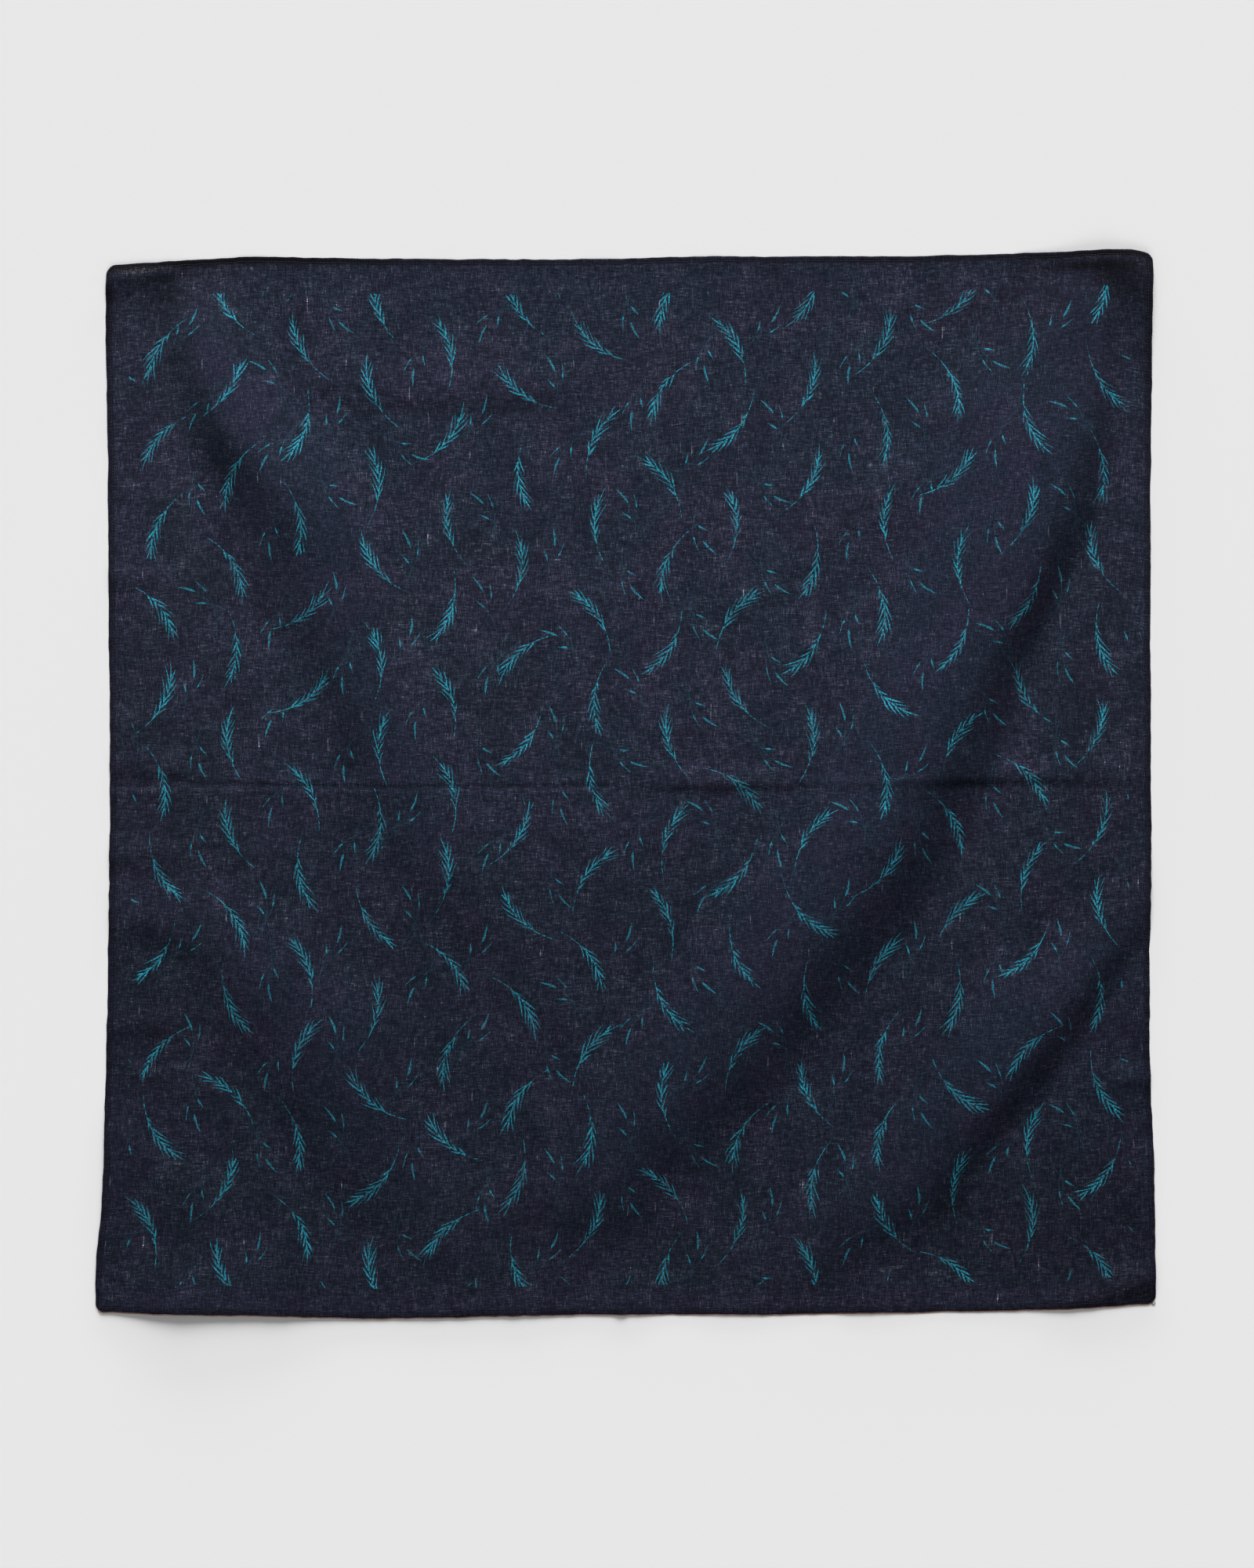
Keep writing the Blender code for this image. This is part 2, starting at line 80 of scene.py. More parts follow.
# Folds and pressed creases. Each has the side of its steep flank, 1 where it lies to the right of
# someone who walks the crest from the first row on and -1 where it lies to the left, and its crest
# line: (x, y, height, reach of the gentle flank, reach of the steep flank)
FOLDS = {
    "right": (1, (
        (-46, -248, 0.0, 44, 30), (-22, -215, 3.8, 50, 34), (14, -174, 6.4, 54, 39),
        (47, -141, 8.0, 56, 43), (78, -106, 9.8, 58, 40), (109, -66, 12.0, 58, 38),
        (132, -30, 12.6, 58, 40), (156, 18, 14.0, 62, 39), (179, 62, 13.6, 72, 32),
        (202, 104, 14.0, 90, 25), (219, 152, 13.2, 96, 29), (233, 197, 10.2, 84, 23),
        (239, 232, 6.4, 56, 18), (243, 268, 2.2, 30, 13))),
    "left": (-1, (
        (-84, -96, 0.0, 44, 26), (-98, -50, 2.2, 48, 26), (-112, -18, 3.6, 50, 25),
        (-131, 28, 5.2, 50, 26), (-145, 73, 6.4, 48, 28), (-159, 116, 8.2, 46, 29),
        (-179, 152, 10.4, 45, 31), (-206, 190, 9.2, 43, 24), (-221, 228, 5.8, 36, 18),
        (-232, 262, 0.0, 24, 12))),
    "left, outer": (-1, (
        (-166, 62, 0.0, 20, 14), (-175, 90, 2.4, 22, 16), (-187, 116, 2.8, 22, 16),
        (-200, 140, 1.2, 22, 16), (-212, 162, 0.0, 20, 14))),
    "lower right": (1, (
        (50, -264, 0.0, 28, 20), (84, -247, 1.8, 36, 26), (116, -226, 4.2, 42, 29),
        (149, -204, 6.2, 48, 28), (175, -172, 8.2, 50, 24), (200, -142, 9.6, 48, 22),
        (224, -110, 8.4, 38, 20), (244, -85, 5.0, 34, 17), (267, -60, 2.4, 30, 14))),
    "lower left": (-1, (
        (-62, -268, 0.0, 40, 26), (-92, -240, 1.8, 48, 26), (-120, -209, 3.2, 52, 27),
        (-141, -178, 5.0, 60, 38), (-153, -142, 6.6, 58, 50), (-180, -112, 5.4, 54, 40),
        (-209, -84, 3.7, 42, 25), (-240, -72, 2.2, 26, 15), (-272, -70, 1.3, 18, 13))),
    "lower left corner": (-1, (
        (-208, -246, 0.0, 28, 30), (-224, -224, 0.7, 28, 36), (-238, -204, 1.3, 24, 38),
        (-255, -186, 1.5, 20, 38), (-274, -176, 1.2, 18, 36))),
    "middle": (1, (
        (-150, -32, 0.0, 26, 34), (-96, -29, 0.9, 28, 42), (-20, -28, 1.0, 28, 44),
        (50, -27, 0.8, 28, 42), (92, -30, 0.0, 26, 34))),
    "left ripple, upper": (-1, (
        (-226, 103, 0.0, 12, 8), (-244, 104, 1.0, 12, 8), (-270, 104, 1.4, 12, 8))),
    "left ripple, middle": (-1, (
        (-214, -34, 0.0, 14, 9), (-240, -36, 1.0, 14, 9), (-272, -38, 1.4, 14, 9))),
    "left ripple, lower": (-1, (
        (-222, -122, 0.0, 12, 9), (-242, -123, 1.5, 13, 9), (-256, -124, 0.8, 12, 9),
        (-274, -125, 0.4, 12, 9))),
    "left ripple, lowest": (-1, (
        (-202, -157, 0.0, 14, 8), (-222, -155, 0.9, 14, 8), (-246, -149, 0.9, 14, 8),
        (-260, -148, 0.0, 12, 8))),
    "right ripple": (1, (
        (236, -150, 0.0, 12, 7), (254, -151, 1.3, 12, 7), (272, -152, 1.6, 12, 7))),
    "top left corner": (-1, (
        (-212, 271, 0.0, 14, 8), (-236, 262, 1.4, 16, 10), (-256, 257, 2.2, 18, 11),
        (-274, 254, 2.4, 18, 12))),
    "top right corner": (1, (
        (190, 276, 0.0, 14, 10), (226, 270, 1.2, 16, 14), (252, 265, 2.6, 18, 18),
        (262, 254, 2.6, 18, 18), (266, 226, 1.4, 14, 14), (268, 196, 0.0, 10, 10))),
    "lower right corner": (1, (
        (205, -270, 0.0, 12, 7), (230, -263, 1.2, 13, 8), (250, -257, 1.8, 14, 10),
        (274, -250, 1.8, 14, 12))),
    "upper dip": (1, (
        (-176, 208, 0.0, 20, 12), (-140, 203, 1.0, 24, 14), (-90, 199, 1.2, 24, 14),
        (-40, 201, 0.8, 22, 12), (-16, 204, 0.0, 20, 12))),
    "upper right dip": (1, (
        (130, 184, 0.0, 16, 12), (164, 188, 1.1, 20, 13), (200, 196, 0.0, 18, 12))),
    "slanting dip": (1, (
        (34, 78, 0.0, 18, 14), (64, 96, 0.8, 22, 14), (104, 128, 1.0, 24, 14), (134, 152, 0.8, 20, 13),
        (150, 166, 0.0, 18, 12))),
    "lower middle": (-1, (
        (-20, -160, 0.0, 22, 16), (-34, -122, 1.1, 26, 16), (-48, -84, 1.2, 24, 16),
        (-58, -48, 0.0, 22, 14))),
    "lower middle, left": (-1, (
        (-98, -170, 0.0, 20, 16), (-104, -130, 1.2, 24, 18), (-108, -96, 1.2, 24, 18),
        (-104, -70, 0.0, 20, 16))),
    "cross crease": (1, (
        (4, 0.6, 0.0, 12, 5.0), (20, 0.4, 0.9, 14, 5.6), (36, 0.2, 1.4, 14, 6.0), (58, 0.4, 1.3, 13, 6.0),
        (82, 0.8, 0.7, 8, 5.4), (98, 1.4, 0.55, 3.6, 5.6), (150, 1.8, 0.55, 3.6, 5.6),
        (166, 3.6, 1.3, 22, 6.6), (184, 3.8, 1.4, 22, 6.6), (196, 3.8, 1.3, 12, 6.4),
        (214, 3.6, 1.1, 12, 6.2), (228, 3.5, 0.9, 20, 6.0), (250, 3.4, 0.8, 20, 6.0),
        (262, 3.4, 0.0, 16, 6.0))),
    "cross crease, upper lip": (1, (
        (-274, 8.8, 0.8, 14, 9.4), (-234, 8.4, 1.1, 14, 9.2), (-216, 3.0, 0.6, 10, 4.6),
        (-170, 0.8, 0.6, 10, 2.8), (-100, 0.4, 0.45, 10, 3.4), (-24, 0.8, 0.45, 9, 2.6),
        (8, 1.0, 0.0, 8, 2.6))),
    "cross crease, lower lip": (-1, (
        (-274, -4.0, 0.5, 12, 3.0), (-234, -4.0, 0.6, 12, 3.0), (-170, -3.8, 0.5, 12, 2.2),
        (-100, -5.0, 0.4, 12, 3.4), (-24, -3.8, 0.35, 10, 2.2), (8, -3.6, 0.0, 10, 2.2))),
    "upright crease": (-1, (
        (-3, -274, 0.7, 5, 5), (-2, -180, 0.7, 5, 5), (-3, -90, 0.6, 5, 5), (-1, 0, 0.6, 5, 5),
        (0, 90, 0.6, 5, 5), (2, 160, 0.4, 5, 5), (2, 210, 0.0, 5, 5))),
}
FOLD_SAMPLES = 120
EDGE_SAMPLES = 400

# Edges that curl off the surface: how far in the curl reaches, and (how far along the edge, lift)
CURLS = {
    "bottom": (46.0, (
        (-272, 0.4), (-262, 0.9), (-250, 1.9), (-238, 2.9), (-226, 3.4), (-206, 3.0), (-186, 2.3),
        (-160, 1.4), (-128, 0.8), (-80, 0.9), (-40, 0.7), (0, 0.3), (40, 0.2), (150, 0.2), (190, 0.4),
        (216, 0.7), (234, 0.8), (252, 0.5), (270, 0.2))),
    "left": (32.0, ((-272, 0.1), (-256, 0.8), (-236, 1.6), (-205, 1.7), (-165, 0.8), (-130, 0.0),
                    (272, 0.0))),
    "right": (24.0, ((-272, 0.0), (-240, 0.6), (-190, 0.4), (-150, 0.0), (272, 0.0))),
    "top": (60.0, ((-272, 0.0), (150, 0.0), (200, 0.6), (238, 1.6), (272, 2.4))),
}

# The weight of the cloth presses the lowest of each fold flat
PRESSED_FLAT = 0.1

# The section of the hem, which is turned under twice:
# (how far in from the edge, how far the underside and the face stand off the plain cloth's underside)
HEM_SECTION = (
    (0.0, 0.12, 0.28), (0.3, 0.03, 0.42), (0.8, 0.0, 0.50), (1.4, 0.0, 0.52), (1.9, 0.0, 0.49),
    (2.3, 0.05, 0.42), (2.7, 0.0, 0.49), (3.3, 0.04, 0.49), (3.7, 0.24, 0.48), (4.8, 0.21, 0.46),
    (6.4, 0.13, 0.38), (8.4, 0.05, 0.30), (11.0, 0.0, 0.25),
)
RIM_BULGE = 0.10
LOWER_RIM_BULGE = 0.45

# Bands of closer grid lines along the pressed creases: (from, to, apart)
CROSS_CREASE_BAND = (-7.0, 10.5, 0.85)
UPRIGHT_CREASE_BAND = (-9.0, 8.0, 1.7)
PLAIN_PITCH = 3.05

# The cloth's own small waves: (shortest wave, longest wave, height, seed)
LOW_WAVES = (42.0, 110.0, 0.22, 11)
SMALL_WAVES = (16.0, 36.0, 0.05, 12)
EDGE_WAVES = (6.0, 60.0, 0.13, 13)
WAVE_COUNT = 28
HEM_PUCKER = (5.0, 9.0, 0.06, 14)
PUCKER_REACH = 9.0

# Thin places, where the pale floor shows through, on the flat square. The first five rows, along the
# top hem at both corners and the bottom hem at the right, are painted highlights on its puckers and
# crease: (x, y, half length, half width, turn in degrees, strength)
SHEER_AND_HIGHLIGHT_PLACES = (
    (-257, 266.2, 9, 1.8, 0, 0.024), (-243, 266.7, 13, 0.8, 0, 0.018), (246, 266.7, 14, 0.4, 0, 0.036),
    (262.5, 265.0, 3.6, 0.8, -40, 0.022), (238, -262, 22, 1.6, 0, 0.003), (-124, 88, 10, 16, -30, 0.0020),
    (-71, 120, 14, 10, 0, 0.0020), (-76, 36, 10, 14, 0, 0.0018), (-146, 150, 12, 8, 0, 0.0014),
    (-95, 70, 60, 60, 0, 0.0010), (-176, 166, 22, 12, -55, 0.0020), (-130, -148, 28, 22, 0, 0.0012),
    (20, -150, 60, 30, 40, 0.0008),
)

# Places of painted shade, where the cloth is painted darker and takes the hem's dye: along the top
# hem, at the top corners, along the right edge and in broad patches:
# (x, y, half length, half width, turn in degrees, share of the light lost)
PAINTED_SHADE_PLACES = (
    (-200, 268.6, 90, 2.2, 0, 0.84), (-246, 262, 26, 1.6, 0, 0.30), (-238, 253, 17, 8, 0, 0.28),
    (-268, 246, 2.4, 20, 0, 0.40), (140, 268.0, 50, 2.0, 0, 0.30), (246, 268.2, 34, 1.5, 0, 0.80),
    (240, 262.5, 26, 2.2, 0, 0.50), (259, 254, 14, 13, 0, 0.34), (246, 257, 5, 8, -20, 0.25),
    (268, 224, 3.0, 34, 0, 0.30), (262, -264, 20, 8, 0, 0.30), (215, 235, 45, 40, 0, 0.13),
    (246, 30, 26, 120, 0, 0.10), (240, -228, 60, 34, 0, 0.16), (238, -66, 26, 16, 0, 0.12),
    (-250, 10, 34, 60, 0, 0.07), (-240, -120, 34, 30, 0, 0.10), (-100, -80, 50, 22, 0, 0.09),
    (165, -215, 20, 24, 0, 0.06),
)

# Raised cloth is painted with less of the pale floor, and its dye more even, by steps from the first
# height to the second: painted shade, for the floor under it lies in the cloth's shadow. Threads and
# grain over the coarse size then lose a share of their strength.
CLEAR_OF_FLOOR = (0.8, 6.0)
COARSE = 0.55
EVENED_SHARE = 0.55

# How strongly the grain opens the gaps between the threads, and how strongly it shades them
GRAIN_OPENS = 2.4
GRAIN_SHADES = 1.3

# Step through the noise from one thread to the next, long enough that neighbours differ
NEXT_THREAD = 5.37

# Uneven threads, which run up and across the cloth alike: (width, length of a stretch, strength, seed)
THREADS = ((0.34, 3.6, 1.15, 1.0), (0.62, 7.0, 0.55, 2.0), (1.25, 12.0, 0.15, 3.0))

# Rare pale upright threads: (width, length of a stretch, strength, seed)
SLUBS = (0.4, 15.0, 0.75, 9.0)

# The grain of the cloth: (size across, size up, strength, seed)
GRAIN = (
    (0.50, 0.9, 0.95, 4.0), (1.4, 2.6, 0.17, 5.0), (3.2, 5.0, 0.11, 6.0), (9.0, 7.0, 0.27, 7.0),
    (20.0, 30.0, 0.32, 8.0),
)

# Loose leaves of the print, about a point between two columns of sprigs:
# (x, y, turn in degrees, length, half width)
LOOSE_LEAVES = ((-1.0, -1.0, 12, 9.5, 0.50), (2.4, -5.0, -14, 7.5, 0.42), (-2.2, -9.0, 30, 5.5, 0.40))
STEM_BEND = 2.4
CELL_SHIFT = 4.0

# A stitch from end to end: where its rings stand, in half lengths from its middle, and how thick it is
# there. Each stitch lies off the straight row by about the last number, as a share of half a side.
STITCH_STATIONS = (-1.0, -0.55, 0.0, 0.55, 1.0)
STITCH_THICKNESS = (0.35, 0.9, 1.0, 0.9, 0.35)
STITCH_WANDER = 0.0001

# Parts of the bake map: the face, the rim and the reverse, each as (lowest, highest) across it, and
# the room that all three take up it
BAKE_FACE = (0.004, 0.794)
BAKE_RIM = (0.799, 0.806)
BAKE_REVERSE = (0.811, 0.996)
BAKE_UP = (0.004, 0.996)

# The two far lamps and the camera, in metres: places, the low lamp's width and height, and how far
# off the middle of the cloth the camera stands
LOW_LIGHT_PLACE = (0.0, 20.0, 1.5)
LOW_LIGHT_SIZE = (24.0, 1.8)
UPPER_LIGHT_PLACE = (0.0, 9.2, 4.4)
CAMERA_OFF_MIDDLE = (0.0008, 0.0002)


class BandanaCloth(bpy.types.PropertyGroup):
    """Sizes and colours of the cloth"""
    hem_width: FloatProperty(
        name="Hem width", description="From the edge to the inner edge of the hem",
        default=0.0032, min=0.002, max=0.01, unit="LENGTH", subtype="DISTANCE")
    thread_pitch: FloatProperty(
        name="Thread pitch", description="From one thread of the weave to the next",
        default=0.00034, min=0.0001, max=0.002, unit="LENGTH", subtype="DISTANCE")
    dye: FloatVectorProperty(
        name="Dye", description="Colour of the dyed thread",
        default=(0.0073, 0.0124, 0.0268), min=0, max=1, size=3, subtype="COLOR")
    warm_dye: FloatVectorProperty(
        name="Faded dye", description="Colour of the thread where the dye leans to purple",
        default=(0.0107, 0.0121, 0.0284), min=0, max=1, size=3, subtype="COLOR")
    cool_dye: FloatVectorProperty(
        name="Cool dye", description="Colour of the thread at the left and bottom, which leans to green",
        default=(0.0081, 0.0125, 0.0252), min=0, max=1, size=3, subtype="COLOR")
    # The hem's own dye, which is also painted on the places of painted shade and on the thin places
    hem_and_shade_dye: FloatVectorProperty(
        name="Deep dye", description="Colour of the hem and of the deeply dyed places",
        default=(0.0060, 0.0072, 0.0172), min=0, max=1, size=3, subtype="COLOR")
    # The colour of the warm glow that is painted along the fold of the hem
    painted_warm_glow: FloatVectorProperty(
        name="Worn edge", description="Colour that the dye has worn down to along the fold of the hem",
        default=(0.62, 0.33, 0.21), min=0, max=1, size=3, subtype="COLOR")
    showing_through: FloatVectorProperty(
        name="Showing through", description="Pale colour between the threads of the thin cloth",
        default=(0.60, 0.57, 0.56), min=0, max=1, size=3, subtype="COLOR")
    openness: FloatProperty(
        name="Openness", description="Share of the cloth that is gaps between threads",
        default=0.0062, min=0, max=0.2)
    hem_depth: FloatProperty(
        name="Hem depth", description="How dark the closed layers of the hem are beside the cloth",
        default=0.92, min=0.1, max=1, subtype="FACTOR")
    roughness: FloatProperty(
        name="Roughness", description="Roughness of the bare cloth",
        default=0.92, min=0, max=1, subtype="FACTOR")


class BandanaPrint(bpy.types.PropertyGroup):
    """Sizes and colour of the print"""
    ink: FloatVectorProperty(
        name="Ink", description="Colour of the print",
        default=(0.020, 0.310, 0.420), min=0, max=1, size=3, subtype="COLOR")
    repeat_across: FloatProperty(
        name="Repeat across", description="Width of one column of sprigs",
        default=0.0375, min=0.01, max=0.2, unit="LENGTH", subtype="DISTANCE")
    repeat_up: FloatProperty(
        name="Repeat up", description="Height of one sprig and its gap",
        default=0.0450, min=0.01, max=0.2, unit="LENGTH", subtype="DISTANCE")
    sprig_length: FloatProperty(
        name="Sprig length", description="Length of the leafy part of a sprig",
        default=0.0255, min=0.01, max=0.1, unit="LENGTH", subtype="DISTANCE")
    leaf_length: FloatProperty(
        name="Leaf length", description="Length of the longest leaf",
        default=0.0096, min=0.002, max=0.03, unit="LENGTH", subtype="DISTANCE")
    leaf_width: FloatProperty(
        name="Leaf width", description="Width of the longest leaf",
        default=0.00084, min=0.0003, max=0.01, unit="LENGTH", subtype="DISTANCE")
    leaf_pitch: FloatProperty(
        name="Leaf pitch", description="From one leaf to the next along the stem",
        default=0.0046, min=0.001, max=0.02, unit="LENGTH", subtype="DISTANCE")
    leaf_angle: FloatProperty(
        name="Leaf angle", description="Angle between the leaves and the stem",
        default=np.radians(24), min=0.1, max=1.5, unit="ROTATION", subtype="ANGLE")
    toss: FloatProperty(
        name="Toss", description="How far a sprig turns off upright, at most",
        default=np.radians(52), min=0, max=3.2, unit="ROTATION", subtype="ANGLE")
    side_margin: FloatProperty(
        name="Side margin", description="Bare cloth at the left and right edges",
        default=0.0115, min=0, max=0.1, unit="LENGTH", subtype="DISTANCE")
    top_margin: FloatProperty(
        name="Top margin", description="Bare cloth at the top edge",
        default=0.018, min=0, max=0.1, unit="LENGTH", subtype="DISTANCE")
    bottom_margin: FloatProperty(
        name="Bottom margin", description="Bare cloth at the bottom edge",
        default=0.015, min=0, max=0.1, unit="LENGTH", subtype="DISTANCE")
    struck_through: FloatProperty(
        name="Struck through", description="Share of the ink that shows on the reverse",
        default=0.22, min=0, max=1, subtype="FACTOR")


class BandanaThread(bpy.types.PropertyGroup):
    """Sizes and colour of the sewing thread"""
    inset: FloatProperty(
        name="Inset", description="From the edge of the cloth to the row of stitches",
        default=0.0023, min=0.0005, max=0.01, unit="LENGTH", subtype="DISTANCE")
    pitch: FloatProperty(
        name="Stitch pitch", description="From one stitch to the next",
        default=0.0015, min=0.0005, max=0.01, unit="LENGTH", subtype="DISTANCE")
    length: FloatProperty(
        name="Stitch length", description="Length of thread that shows in each stitch",
        default=0.00115, min=0.0003, max=0.01, unit="LENGTH", subtype="DISTANCE")
    radius: FloatProperty(
        name="Thread radius", description="Half the thickness of the sewing thread",
        default=0.00016, min=0.00005, max=0.001, unit="LENGTH", subtype="DISTANCE")
    loop_size: FloatProperty(
        name="Loop size", description="Distance across the loop of thread at the corner",
        default=0.0018, min=0.0005, max=0.01, unit="LENGTH", subtype="DISTANCE")
    colour: FloatVectorProperty(
        name="Colour", description="Colour of the sewing thread",
        default=(0.0045, 0.0050, 0.0085), min=0, max=1, size=3, subtype="COLOR")


class BandanaStage(bpy.types.PropertyGroup):
    """Sizes and lights of the stage"""
    floor_size: FloatProperty(
        name="Floor size", description="Length of a side of the floor",
        default=12.0, min=1, max=100, unit="LENGTH", subtype="DISTANCE")
    floor_colour: FloatVectorProperty(
        name="Floor colour", description="Colour of the plain floor",
        default=(0.86, 0.86, 0.86), min=0, max=1, size=3, subtype="COLOR")
    light: FloatProperty(
        name="Light", description="Light on the open floor, 1 for a floor as bright as its colour",
        default=0.937, min=0, max=10)
    key_share: FloatProperty(
        name="Key share", description="Share of the light that comes from the soft light at the top",
        default=0.60, min=0, max=1, subtype="FACTOR")
    key_height: FloatProperty(
        name="Key height", description="Angle of the soft light above the floor",
        default=np.radians(27), min=0.1, max=1.57, unit="ROTATION", subtype="ANGLE")
    key_spread: FloatProperty(
        name="Key spread", description="How wide the soft light is, as seen from the cloth",
        default=np.radians(38), min=0, max=3.1, unit="ROTATION", subtype="ANGLE")
    even_share: FloatProperty(
        name="Even share", description="Share of the light that comes evenly from all round",
        default=0.20, min=0, max=1, subtype="FACTOR")
    fill_share: FloatProperty(
        name="Fill share", description="Share of the floor's light that comes from the bottom",
        default=0.125, min=0, max=1, subtype="FACTOR")
    fill_height: FloatProperty(
        name="Fill height", description="Angle of the fill light above the floor",
        default=np.radians(40), min=0.01, max=1.57, unit="ROTATION", subtype="ANGLE")
    low: FloatProperty(
        name="Low light", description="Power of the wide far lamp low over the floor",
        default=4200.0, min=0, max=100000, unit="POWER")
    upper: FloatProperty(
        name="Upper light", description="Power of the far lamp over the upper half of the cloth",
        default=3550.0, min=0, max=100000, unit="POWER")
    upper_edge: FloatProperty(
        name="Upper light's edge", description="How far above the cloth's middle that lamp fades out",
        default=-0.20, min=-1, max=1, unit="LENGTH", subtype="DISTANCE")
    upper_fade: FloatProperty(
        name="Upper light's fade", description="Share of the lamp's cone over which it fades out",
        default=0.023, min=0, max=1, subtype="FACTOR")
    camera_height: FloatProperty(
        name="Camera height", description="From the floor to the camera",
        default=2.0, min=0.2, max=20, unit="LENGTH", subtype="DISTANCE")
    view_height: FloatProperty(
        name="View height", description="Height of the picture on the floor",
        default=0.8, min=0.1, max=10, unit="LENGTH", subtype="DISTANCE")


# Forms of the cloth

def smooth_line(rows, samples):
    """Carry the rows of a table through a Catmull-Rom curve, at even steps of the row number. The
    first two columns run straight on past the ends, and the others level off there."""
    rows = np.array(rows, dtype=float)
    before_first = rows[1].copy()
    after_last = rows[-2].copy()
    before_first[:2] = 2 * rows[0, :2] - rows[1, :2]
    after_last[:2] = 2 * rows[-1, :2] - rows[-2, :2]
    knots = np.vstack((before_first, rows, after_last))
    place = np.linspace(0.0, len(rows) - 1.0, samples)
    first = np.minimum(place.astype(int), len(rows) - 2)
    t = (place - first)[:, None]
    before, start, stop, after = (knots[first + step] for step in range(4))
    slope_in = 0.5 * (stop - before)
    slope_out = 0.5 * (after - start)
    rise = stop - start
    bend = 3 * rise - 2 * slope_in - slope_out
    return start + t * (slope_in + t * (bend + t * (slope_in + slope_out - 2 * rise)))


def value_along(table, along):
    """The second column of a table at each place along its first, on its smooth curve."""
    curve = smooth_line(table, EDGE_SAMPLES)
    return np.interp(along, curve[:, 0], curve[:, 1])


def half_wave(share):
    """1 at a share of 0, falling in half a cosine wave to 0 at a share of 1 and beyond."""
    return 0.5 + 0.5 * np.cos(np.pi * np.clip(share, 0.0, 1.0))


def fold_height(x, y, steep_side, rows):
    """Height of one fold. Each point looks to the nearest place on the crest line, and the height
    there falls off in half a cosine wave over the reach of the flank that the point is on."""
    line = smooth_line(rows, FOLD_SAMPLES)
    along = np.gradient(line[:, :2], axis=0)
    spacing = np.linalg.norm(along, axis=1)
    along /= spacing[:, None]
    apart = (x[:, None] - line[:, 0]) ** 2 + (y[:, None] - line[:, 1]) ** 2
    nearest = np.argmin(apart, axis=1)
    past_x = x - line[nearest, 0]
    past_y = y - line[nearest, 1]
    run = (past_x * along[nearest, 0] + past_y * along[nearest, 1]) / spacing[nearest]
    place = nearest + np.clip(run, -1.0, 1.0)
    height, gentle, steep = (np.interp(place, np.arange(FOLD_SAMPLES), size) for size in line[:, 2:].T)
    offset = past_x * along[nearest, 1] - past_y * along[nearest, 0]
    reach = np.where(offset * steep_side > 0, steep, gentle)
    return np.maximum(height, 0.0) * half_wave(np.abs(offset) / reach)


def curl_height(x, y):
    """Height of the curled edges: the lift at the edge, falling off inwards in half a cosine wave."""
    inwards = {
        "bottom": (x, y + value_along(EDGES["bottom"], x)),
        "left": (y, x + value_along(EDGES["left"], y)),
        "right": (y, value_along(EDGES["right"], y) - x),
        "top": (x, value_along(EDGES["top"], x) - y),
    }
    height = np.zeros_like(x)
    for edge, (reach, lift) in CURLS.items():
        along, inward = inwards[edge]
        height += np.maximum(value_along(lift, along), 0.0) * half_wave(inward / reach)
    return height


def waves(x, y, shortest, longest, height, seed):
    """A sum of sine waves with random directions, lengths and phases, of about the given height."""
    random = np.random.default_rng(seed)
    length = np.geomspace(shortest, longest, WAVE_COUNT)
    turn, phase = random.uniform(0, 2 * np.pi, (2, WAVE_COUNT))
    total = np.zeros_like(x)
    for wave, direction, start in zip(length, turn, phase):
        total += np.sin((x * np.cos(direction) + y * np.sin(direction)) * 2 * np.pi / wave + start)
    return height * total / np.sqrt(WAVE_COUNT / 2)


def plan_point(u, v):
    """Carry the square from -1 to 1 to the outline of the cloth: each grid line runs evenly from
    edge to edge, and near a corner the squares round it become arcs about the corner's centre."""
    left, right = (value_along(EDGES[edge], HALF_SIDE * v) for edge in ("left", "right"))
    bottom, top = (value_along(EDGES[edge], HALF_SIDE * u) for edge in ("bottom", "top"))
    x = 0.5 * (right - left) + 0.5 * (right + left) * u
    y = 0.5 * (top - bottom) + 0.5 * (top + bottom) * v
    for side_across, side_up, radius in CORNERS:
        across = np.clip(radius - HALF_SIDE * (1 - side_across * u), 0.0, radius)
        up = np.clip(radius - HALF_SIDE * (1 - side_up * v), 0.0, radius)
        outermost = np.maximum(across, up)
        pull = 1 - outermost / np.where(outermost > 0, np.hypot(across, up), 1.0)
        x = x - side_across * across * pull
        y = y - side_up * up * pull
    return x, y


def centre_shift():
    """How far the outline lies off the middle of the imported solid's box, across and up."""
    edge = np.linspace(-1, 1, EDGE_SAMPLES)
    ones = np.ones_like(edge)
    u = np.concatenate((edge, edge, ones, -ones))
    v = np.concatenate((ones, -ones, edge, edge))
    low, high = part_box("bandana")
    return [0.5 * (side.max() + side.min()) - 0.5 * (low[axis] + high[axis]) / MM
            for axis, side in enumerate(plan_point(u, v))]


def cloth_points(u, v):
    """Places of the underside and of the face over the places u, v of the square, as two arrays in
    metres. The height is the sum of the folds, curls and small waves, cut off at the floor, and the
    hem's section goes on top."""
    x, y = plan_point(u, v)
    lift = curl_height(x, y)
    for steep_side, rows in FOLDS.values():
        lift += fold_height(x, y, steep_side, rows)
    lift += np.maximum(waves(x, y, *LOW_WAVES) + waves(x, y, *SMALL_WAVES), 0.0)
    inward = HALF_SIDE * (1 - np.maximum(np.abs(u), np.abs(v)))
    sway = half_wave(inward / PUCKER_REACH)
    pucker = waves(x, y, *HEM_PUCKER) * sway
    lift = np.maximum(lift + np.abs(pucker) - PRESSED_FLAT, 0.0)
    section_inward, section_under, section_face = np.array(HEM_SECTION).T
    under = np.interp(inward, section_inward, section_under)
    face = np.interp(inward, section_inward, section_face)
    shift_x, shift_y = centre_shift()
    x = x - shift_x + sway * waves(y, 0 * y, *EDGE_WAVES)
    y = y - shift_y + sway * waves(x, 0 * x, *EDGE_WAVES)
    return (np.column_stack((x, y, lift + under)) * MM, np.column_stack((x, y, lift + face)) * MM)


